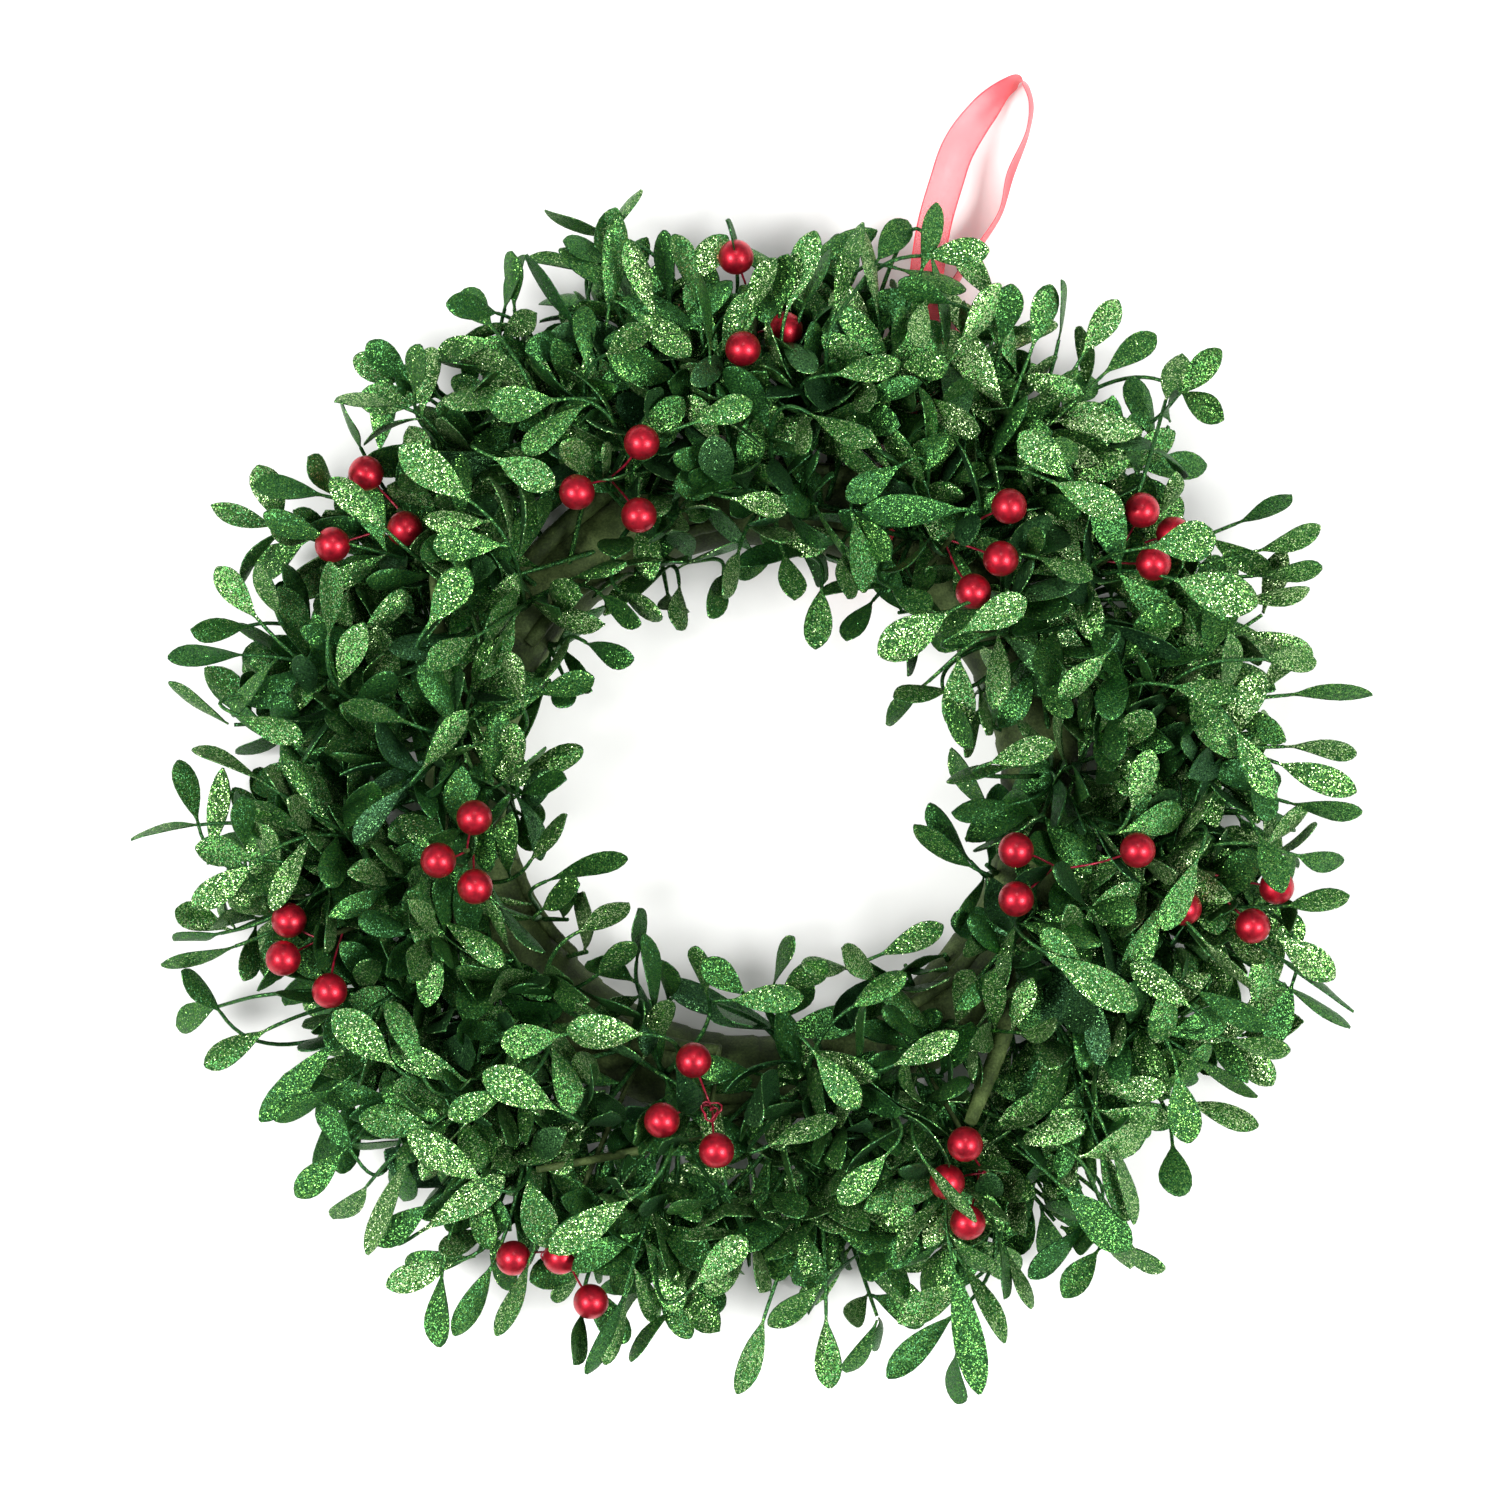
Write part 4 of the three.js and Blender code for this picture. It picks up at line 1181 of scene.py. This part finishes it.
def growSprig(shape, stem, plan, draw, fills, settled=()):
    # settles what it can of the plan, and adds the stem with its leaves
    settled = list(settled)
    for blade in plan:
        best = settleLeaf(stem, blade, fills)
        if best is None or best[0] > leaf["mostClashes"]:
            continue
        fill(best[1], leafMark)
        settled.append((blade, leafPoints(best[2], best[3], blade)))
    if settled:
        addSprig(shape, stem, settled, draw)
    return len(settled)


def leadSprigs(node, row, azimuth, seed):
    # the node's own sprigs, from the same draws, each turned the way that its node has it
    points = nodePoints(node)
    draw = seededDraws(seed)
    root = ringPoint(azimuth, row["section"], wreath["tubeHeight"])
    stems = []
    for sprig in row["sprigs"]:
        yaw = sprig["yaw"] + spreads["yaw"] * draw()
        rise = sprig["rise"] + spreads["rise"] * draw()
        lean = spreads["lean"] * draw()
        length = sprig["length"] * (1 + spreads["length"] * draw())
        turned = [makeStem(root, azimuth, yaw + turn, rise + more, lean, length) for turn, more in stemBends]
        stems.append(min(turned, key=lambda stem: nearest(points, stemAt(stem, stem["length"])[0])))
        root = stemAt(stems[0], sprigStem["sideStart"])[0]
    return stems


def fillerSprigs(_, row, azimuth, seed):
    draw = seededDraws(seeds["filler"] + seed)
    stems = []
    for sprig in row["fillers"]:
        at = azimuth + sprig["turn"] + fillerSpreads["turn"] * draw()
        root = ringPoint(at, row["section"] + fillerSpreads["section"] * draw(), wreath["tubeHeight"])
        yaw = sprig["yaw"] + fillerSpreads["yaw"] * draw()
        rise = sprig["rise"] + fillerSpreads["rise"] * draw()
        lean = fillerSpreads["lean"] * draw()
        length = sprig["length"] * (1 + fillerSpreads["length"] * draw())
        stems.append(makeStem(root, at, yaw, rise, lean, length))
    return stems


# Sprigs and single leaves that stand out in the photograph, each grown from the pick nearest to it.
# By its pixels: [from across, from down, tip across, tip down, width seen, above the leaf tops, pairs]
accents = {
    "shortest": 19,  # a leaf that shows shorter than this is tilted
    "mostTilt": 40,
    "endLeaf": 19,  # length of the leaf at the end of a sprig with pairs
    "clear": (1.5, 16, 1.2),  # the heights over each leaf that are kept clear: the first, the end, the step
    "underTop": 2,  # how far under the highest leaf a tilted one's tip stays
    "reach": 1.2,  # each goes on under its neighbours from where the photograph first shows it
    "slimmest": 4.3,
    # the pairs on the hidden part of a stem: from which share of it, how far from its end, how far apart
    "hiddenPairs": (0.4, 9, 10),
    "bareUpTo": 24,  # a hidden part that is shorter has none
    "shownPairs": (0.12, 2),  # those on the part that shows: from which share, and how far from its end
    "lean": 14,
    "curl": (0.25, 0.12),
    "cup": 0.2,
    "bends": (0.42, 0.38),  # how far the stem keeps the way it leaves the ring on, and the leaf's own way
    "rim": [
        [606, 236, 639, 190, 12, 2, 0], [598, 234, 541, 226, 14, 0, 0], [600, 262, 624, 213, 26, 0, 0],
        [608, 262, 567, 238, 18, -2, 0], [612, 300, 632, 222, 22, -3, 0], [608, 284, 564, 247, 22, 0, 0],
        [653, 310, 628, 244, 26, 0, 0], [567, 316, 519, 265, 18, 0, 0], [508, 300, 524, 256, 22, -3, 0],
        [669, 296, 660, 234, 24, -3, 0], [692, 290, 678, 236, 26, 0, 0], [688, 278, 730, 240, 30, -4, 0],
        [736, 262, 732, 228, 10, -6, 0], [710, 345, 710, 273, 14, 0, 0], [752, 304, 771, 259, 22, 0, 0],
        [791, 300, 814, 234, 28, 0, 0], [781, 306, 787, 257, 24, -3, 0], [806, 300, 825, 250, 12, -3, 0],
        [838, 300, 860, 226, 22, 0, 0], [876, 300, 866, 228, 16, -2, 0], [844, 306, 922, 200, 30, 9, 2],
        [934, 256, 989, 257, 28, 10, 0], [924, 262, 941, 208, 22, 6, 0], [908, 272, 966, 291, 20, 4, 0],
        [934, 268, 953, 345, 16, 6, 0], [943, 302, 893, 292, 24, 4, 0], [924, 306, 914, 350, 26, 6, 0],
        [966, 340, 1004, 290, 22, 0, 0], [1003, 335, 1014, 289, 24, -2, 0], [1035, 340, 1054, 289, 26, 0, 0],
        [1060, 330, 1067, 281, 10, -3, 0], [1088, 346, 1113, 302, 28, 0, 0],
        [1110, 368, 1148, 331, 22, 0, 0], [1150, 456, 1187, 326, 26, 2, 2], [1183, 388, 1211, 349, 26, 0, 0],
        [1186, 396, 1218, 424, 30, 2, 0], [1245, 520, 1290, 502, 20, 0, 0], [1268, 548, 1319, 534, 22, 0, 0],
        [1264, 576, 1319, 575, 16, 0, 0], [1250, 600, 1307, 597, 20, 0, 0], [1230, 660, 1336, 658, 26, 2, 1],
        [1302, 694, 1367, 689, 20, 2, 0], [1296, 746, 1353, 743, 18, 0, 0], [1290, 768, 1352, 792, 30, 0, 0],
        [1300, 806, 1356, 822, 14, -2, 0], [1262, 846, 1363, 873, 24, 2, 1],
        [1296, 905, 1346, 900, 20, 0, 0], [1285, 943, 1330, 978, 34, 2, 0],
        [1286, 962, 1352, 1002, 16, 0, 0], [1262, 846, 1277, 894, 30, 5, 0],
        [1296, 992, 1348, 1021, 18, 0, 0], [1289, 992, 1268, 1046, 28, 2, 0],
        [1208, 946, 1247, 992, 18, 2, 0], [1206, 996, 1266, 1030, 28, 0, 0],
        [1236, 1042, 1285, 1057, 22, 0, 0], [1200, 1062, 1250, 1100, 20, 0, 0],
        [1200, 1104, 1258, 1114, 20, 0, 0], [1178, 1084, 1184, 1142, 34, 2, 0],
        [1172, 1150, 1171, 1189, 35, 2, 0], [1115, 1150, 1147, 1215, 11, 0, 0],
        [1104, 1156, 1132, 1215, 22, 0, 0], [1072, 1196, 1126, 1247, 40, 2, 0],
        [1092, 1180, 1138, 1296, 26, 4, 1], [1120, 1249, 1158, 1271, 16, 2, 0],
        [1092, 1256, 1057, 1291, 28, 4, 0], [1078, 1230, 1028, 1277, 24, 0, 0],
        [1000, 1248, 1012, 1296, 11, 0, 0], [1012, 1262, 1034, 1302, 18, 0, 0],
        [970, 1274, 1011, 1333, 26, 2, 0], [957, 1284, 979, 1385, 32, 6, 0],
        [943, 1322, 879, 1367, 24, 8, 0], [966, 1262, 948, 1432, 24, -5, 2],
        [953, 1290, 895, 1318, 32, 0, 0], [620, 1308, 601, 1374, 12, 0, 0],
        [582, 1318, 583, 1350, 14, -2, 0], [624, 1308, 615, 1363, 12, -2, 0],
        [524, 1274, 500, 1332, 16, 0, 0], [488, 1274, 461, 1333, 24, 0, 0], [442, 1280, 435, 1342, 24, 3, 0],
        [442, 1266, 387, 1280, 30, 0, 0], [404, 1170, 365, 1247, 20, 0, 0], [424, 1208, 378, 1241, 30, 3, 0],
        [380, 1170, 324, 1238, 22, 2, 1], [336, 1158, 298, 1192, 30, 4, 0], [350, 1148, 320, 1101, 28, 2, 0],
        [324, 1094, 279, 1122, 22, 3, 0], [326, 1052, 266, 1119, 30, -2, 0],
        [258, 1034, 206, 1059, 24, 3, 0], [240, 1000, 148, 1027, 24, 3, 1], [216, 1004, 193, 963, 14, 1, 0],
        [224, 950, 167, 969, 20, 2, 0], [236, 930, 156, 948, 22, -2, 1], [245, 872, 200, 912, 26, 4, 0],
        [246, 856, 200, 846, 32, 4, 0], [246, 842, 251, 794, 24, 4, 0], [188, 826, 134, 832, 14, 2, 0],
        [196, 812, 186, 758, 26, -2, 0], [254, 776, 200, 740, 14, 2, 0], [232, 655, 172, 655, 20, 2, 0],
        [240, 628, 196, 640, 20, 0, 0], [252, 612, 217, 570, 28, 2, 0], [275, 606, 260, 566, 22, 2, 0],
        [318, 536, 264, 522, 24, 2, 0], [314, 494, 257, 484, 24, 2, 0], [334, 492, 322, 456, 14, -2, 0],
        [385, 404, 336, 397, 14, 2, 0], [404, 376, 373, 346, 30, 0, 0], [416, 388, 422, 350, 26, 2, 0],
        [358, 442, 344, 412, 14, 0, 0], [503, 341, 452, 276, 30, 2, 1], [514, 300, 512, 256, 24, -2, 0],
        [490, 312, 452, 305, 20, 0, 0],
    ],
    "face": [
        [548, 402, 490, 413, 38, 6, 0], [458, 492, 400, 450, 38, 6, 0], [504, 462, 556, 484, 34, 5, 0],
        [434, 618, 470, 569, 36, 6, 0], [330, 624, 338, 562, 22, 5, 0], [1064, 487, 1124, 514, 34, 6, 0],
        [1160, 546, 1214, 540, 42, 6, 0], [1188, 584, 1255, 606, 44, 5, 0], [1062, 472, 1018, 434, 36, 6, 0],
        [1044, 560, 1082, 574, 22, 5, 0], [970, 628, 1028, 600, 34, 6, 0], [937, 620, 879, 658, 42, 6, 0],
        [844, 374, 902, 370, 26, 4, 0], [905, 366, 945, 372, 28, 4, 0], [643, 320, 690, 356, 32, 2, 0],
        [614, 352, 655, 338, 24, 5, 0], [553, 1036, 500, 1042, 35, 6, 0], [630, 1034, 566, 1032, 38, 7, 0],
        [546, 1104, 483, 1072, 38, 6, 0], [500, 1094, 450, 1118, 26, 6, 0], [470, 1172, 410, 1130, 34, 6, 0],
        [384, 1056, 336, 1009, 40, 7, 0], [418, 1060, 397, 996, 28, 4, 0], [432, 1224, 502, 1178, 34, 3, 0],
        [1134, 800, 1150, 748, 28, 6, 0], [1062, 962, 1137, 1006, 38, 5, 0],
        [1084, 980, 1040, 930, 28, 4, 0], [720, 1164, 700, 1100, 24, -15, 0],
        [1240, 740, 1270, 800, 30, 5, 0], [1180, 688, 1236, 700, 26, 4, 0], [376, 520, 334, 478, 28, 5, 0],
        [250, 720, 300, 740, 24, 5, 0], [820, 1060, 858, 1110, 32, 6, 0], [905, 1060, 960, 1036, 26, 5, 0],
        [780, 1140, 836, 1112, 26, 5, 0], [880, 1160, 836, 1200, 30, 4, 0], [700, 1280, 744, 1236, 32, 5, 0],
        [760, 1330, 740, 1390, 28, 5, 0], [826, 1326, 826, 1384, 28, 6, 0], [400, 720, 346, 700, 26, 5, 0],
        [430, 760, 470, 712, 26, 4, 0], [820, 420, 872, 452, 24, 4, 0], [700, 420, 752, 400, 28, 4, 0],
        [1000, 760, 1056, 742, 26, 4, 0], [1100, 660, 1060, 700, 26, 4, 0], [1194, 866, 1166, 932, 24, 6, 0],
        [932, 1172, 968, 1226, 14, 5, 0], [618, 1206, 548, 1246, 34, 8, 0], [470, 640, 436, 660, 28, 4, 0],
        [740, 500, 790, 510, 26, 2, 0], [1180, 1000, 1130, 966, 30, 5, 0],
    ],
    "hole": [
        [543, 693, 597, 685, 20, -8, 0], [594, 648, 632, 674, 11, -12, 0], [512, 776, 550, 746, 13, -8, 0],
        [528, 790, 568, 768, 13, -12, 0], [536, 852, 563, 809, 13, -8, 0], [560, 876, 627, 850, 14, -10, 0],
        [514, 770, 502, 722, 20, -4, 0], [548, 905, 578, 880, 22, -10, 0], [588, 928, 634, 908, 26, -8, 0],
        [638, 952, 645, 905, 16, -12, 0], [604, 970, 634, 948, 22, -10, 0],
        [655, 1004, 660, 931, 13, -12, 0], [704, 988, 686, 947, 15, -12, 0], [740, 990, 702, 957, 30, -6, 0],
        [742, 1000, 804, 998, 30, -4, 0], [776, 976, 788, 929, 11, -14, 0], [842, 966, 802, 951, 12, -12, 0],
        [790, 986, 832, 966, 22, -10, 0], [872, 975, 846, 938, 22, -8, 0], [888, 952, 946, 930, 24, -6, 0],
        [860, 1002, 906, 972, 28, -3, 0], [858, 1052, 858, 1004, 16, -4, 0],
        [962, 852, 921, 808, 13, -12, 0], [962, 862, 906, 834, 15, -8, 0], [1002, 806, 950, 816, 22, -6, 0],
        [1000, 768, 944, 776, 20, -6, 0], [961, 652, 876, 729, 22, -4, 2], [940, 690, 890, 688, 18, -8, 0],
        [950, 704, 973, 750, 26, -6, 0], [680, 592, 684, 633, 14, -12, 0], [722, 580, 716, 612, 20, -10, 0],
        [738, 556, 732, 588, 18, -10, 0], [786, 560, 800, 598, 24, -10, 0], [820, 598, 812, 651, 28, -6, 0],
        [868, 606, 842, 634, 16, -8, 0], [626, 596, 652, 616, 18, -8, 0], [606, 600, 628, 624, 16, -10, 0],
        [846, 560, 858, 600, 22, -8, 0], [896, 590, 930, 606, 26, -6, 0], [520, 700, 500, 652, 22, -4, 0],
        [856, 530, 872, 592, 28, -8, 0], [950, 510, 862, 513, 36, -6, 0], [893, 470, 846, 500, 28, -4, 0],
        [862, 524, 892, 562, 28, -12, 0],
    ],
}


def nearestPick(point):
    # the leafy pick whose root lies nearest to a spot, with the azimuth and section of that root
    found = []
    for node, row, azimuth, _ in picks:
        root = ringPoint(azimuth, row["section"], wreath["tubeHeight"])
        found.append((np.linalg.norm(point - root), node, azimuth, row["section"]))
    return min(found)[1:]


def bentPath(start, away, base, heading, steps):
    # a smooth bend that leaves the ring along one way and reaches the base along another
    far = np.linalg.norm(base - start)
    first, last = accents["bends"]
    a, b = start + away * first * far, base - heading * last * far
    t = np.linspace(0, 1, steps)[:, None]
    return start * (1 - t) ** 3 + a * 3 * t * (1 - t) ** 2 + b * 3 * t * t * (1 - t) + base * t ** 3


def accentLine(fromAcross, fromDown, tipAcross, tipDown, above, pairs):
    # where a sprig's end leaf or its first pair stands, its heading, its end leaf's length, and how much of
    # its stem shows
    tip = photoPoint(tipAcross, tipDown, above)
    base = tip + (photoPoint(fromAcross, fromDown, above) - tip) * (1 if pairs else accents["reach"])
    seen = np.hypot(*(tip - base)[:2])
    length = accents["endLeaf"] if pairs else max(accents["shortest"], seen)
    # a single leaf is tilted up by as much as it shows too short, but it stays under the highest leaf
    tilt = 0 if pairs else min(math.radians(accents["mostTilt"]), math.acos(min(seen, length) / length))
    room = min(1, max(0, (wreath["highestLeaf"] - accents["underTop"] - base[2]) / length))
    tilt = min(tilt, math.asin(room))
    level = unit((tip - base) * (1, 1, 1 if pairs else 0))
    heading = unit(level * math.cos(tilt) + np.array([0, 0, math.sin(tilt)]))
    return base, heading, length, max(0, seen - length) if pairs else 0


def accentStem(base, heading, visible, pairs, draw):
    # the pick that carries the sprig, its stem, and where its pairs stand
    node, azimuth, section = nearestPick(base)
    start = ringPoint(azimuth, section, wreath["tubeHeight"] - sprigStem["depth"])
    away = unit(ringPoint(azimuth, section, 2) - ringPoint(azimuth, section, 1))
    path = bentPath(start, away, base, heading, steps=26)
    if visible:
        path = np.concatenate([path, [base + heading * visible * share for share in np.linspace(0.1, 1, 10)]])
    stem = stemAlong(path, upFrom(heading, accents["lean"] * draw()), len(path) - 1)
    hidden = stem["length"] - visible
    first, fromEnd, gap = accents["hiddenPairs"]
    spots = pairSpots(first * hidden, hidden - fromEnd, gap, fewest=1) if hidden > accents["bareUpTo"] else []
    if pairs:
        first, fromEnd = accents["shownPairs"]
        shares = np.linspace(first, 1, pairs) * (1 - fromEnd / visible)
        spots += [hidden + visible * share for share in shares]
    return node, stem, spots


def accentLeaf(stem, length, widthSeen, draw):
    # the end leaf, which is rolled on its side if it shows slimmer than leaves are
    halfSeen = widthSeen / photo["pixelsPerMm"] / 2
    halfWidth = max(accents["slimmest"], halfSeen)
    roll = math.degrees(math.acos(min(1, halfSeen / halfWidth)))
    curl = accents["curl"][0] + accents["curl"][1] * draw()
    return {
        "s": stem["length"], "side": 1, "angle": 0, "lift": math.degrees(curl) / 2,
        "roll": roll * (1 if draw() > 0 else -1), "length": length, "halfWidth": halfWidth,
        "curl": curl, "cup": accents["cup"] * draw(), "phase": 3 * draw(), "fray": 0,
        "base": leaf["base"][0] + leaf["base"][1] * draw(), "tip": leaf["tip"][0],
        "twist": leaf["twist"] * draw(),
    }


def placeAccents(shapes):
    # the end leaf of each is placed before any other leaf, with the air over it kept clear
    placed = []
    for salt, kind in enumerate(("face", "rim", "hole")):
        for index, (*ends, widthSeen, above, pairs) in enumerate(accents[kind]):
            draw = seededDraws(seeds["accent"] + seeds["accentKind"] * salt + index)
            base, heading, length, visible = accentLine(*ends, above, pairs)
            node, stem, spots = accentStem(base, heading, visible, pairs, draw)
            blade = accentLeaf(stem, length, widthSeen, draw)
            root, axes = leafAxes(stem, blade, blade["lift"], blade["roll"])
            # a leaf seen face on is tinted lighter all over, a painted highlight for facing the lamps
            if kind == "face":
                blade["tint"] = tints["paintedLitLeaf"][0] + tints["paintedLitLeaf"][1] * draw()
            points = testPoints(root, axes, blade)
            for height in np.arange(*accents["clear"]):
                fill(points + (0, 0, height), sightMark)
            placed.append((shapes[node], stem, spots, blade, points, leafPoints(root, axes, blade), draw))
    for accent in placed:
        fill(accent[4], leafMark)
    return placed


def growRows(shapes, sprigsOf, salt, fills):
    # grows one kind of sprig on every pick, and counts the leaves that found room
    leaves = 0
    for node, row, azimuth, seed in picks:
        for order, stem in enumerate(sprigsOf(node, row, azimuth, seed)):
            draw = seededDraws(seed * seeds["sprig"] + order + salt)
            first, last = stem["length"] * leaf["firstPair"], stem["length"] - leaf["lastPair"]
            spots = pairSpots(first, last, leaf["pairGap"], fewest=2)
            leaves += growSprig(shapes[node], stem, leafPlan(stem, spots, draw), draw, fills)
    return leaves


def growPicks():
    shapes = {node: Shape() for node, *_ in picks}
    placed = placeAccents(shapes)
    leaves = growRows(shapes, leadSprigs, 0, False)
    for shape, stem, spots, blade, _, solid, draw in placed:
        plan = leafPlan(stem, spots, draw)[:-1]  # its end leaf is there
        leaves += growSprig(shape, stem, plan, draw, True, [(blade, solid)])
    leaves += growRows(shapes, fillerSprigs, seeds["fillerLeaf"], True)
    print("leafy picks grown with", leaves, "leaves")
    return shapes


def makeLeafyPicks():
    for node, shape in growPicks().items():
        row, _, number = node.split("_")
        piece = shape.build(f"{row}Pick{number}", [finish["leaf"]], sharpAngle=55)
        finishPiece(piece, node)


makeLeafyPicks()


# Floor and lights: a pale studio table between two large soft lamps, with a weak one behind
studio = {
    "floor": "#f4f4f2",
    "floorSize": 6,
    "floorDepth": -0.0003,  # just under the wreath
    "world": 0.35,
    # [across, up, height in metres, size, watts]; one on each side, so that each berry shows two highlights
    "lamps": [
        [-1.8, -0.35, 2.4, 1.1, 110],
        [1.9, -0.45, 2.3, 1.1, 103],
        [0.2, 1.3, 2.2, 0.6, 9],
    ],
}


def makeFloor():
    side, depth = studio["floorSize"] / 2, studio["floorDepth"]
    corners = [(across * side, up * side, depth) for across, up in ((-1, -1), (1, -1), (1, 1), (-1, 1))]
    mesh = bpy.data.meshes.new("floor")
    mesh.from_pydata(corners, [], [(0, 1, 2, 3)])
    floor = bpy.data.objects.new("floor", mesh)
    scene.collection.objects.link(floor)
    paint, tree, shader, _ = newMaterial("paintedTable")
    setInputs(tree, shader, {
        "Base Color": linear(studio["floor"]), "Roughness": 0.9, "Specular IOR Level": 0.1,
    })
    mesh.materials.append(paint)


def lightStudio():
    for number, (across, up, height, size, watts) in enumerate(studio["lamps"], 1):
        data = bpy.data.lights.new(f"lamp{number}", "AREA")
        data.size = size
        data.energy = watts
        lamp = bpy.data.objects.new(f"lamp{number}", data)
        lamp.location = (across, up, height)
        lamp.rotation_mode = "QUATERNION"
        lamp.rotation_quaternion = Vector((-across, -up, -height)).to_track_quat("-Z", "Y")
        scene.collection.objects.link(lamp)
    world = bpy.data.worlds.new("world")
    world.use_nodes = True
    background = world.node_tree.nodes["Background"]
    setInputs(world.node_tree, background, {"Color": (1, 1, 1, 1), "Strength": studio["world"]})
    scene.world = world
    scene.view_settings.view_transform = "Standard"
    print("studio lit")


makeFloor()
lightStudio()

bpy.context.view_layer.update()
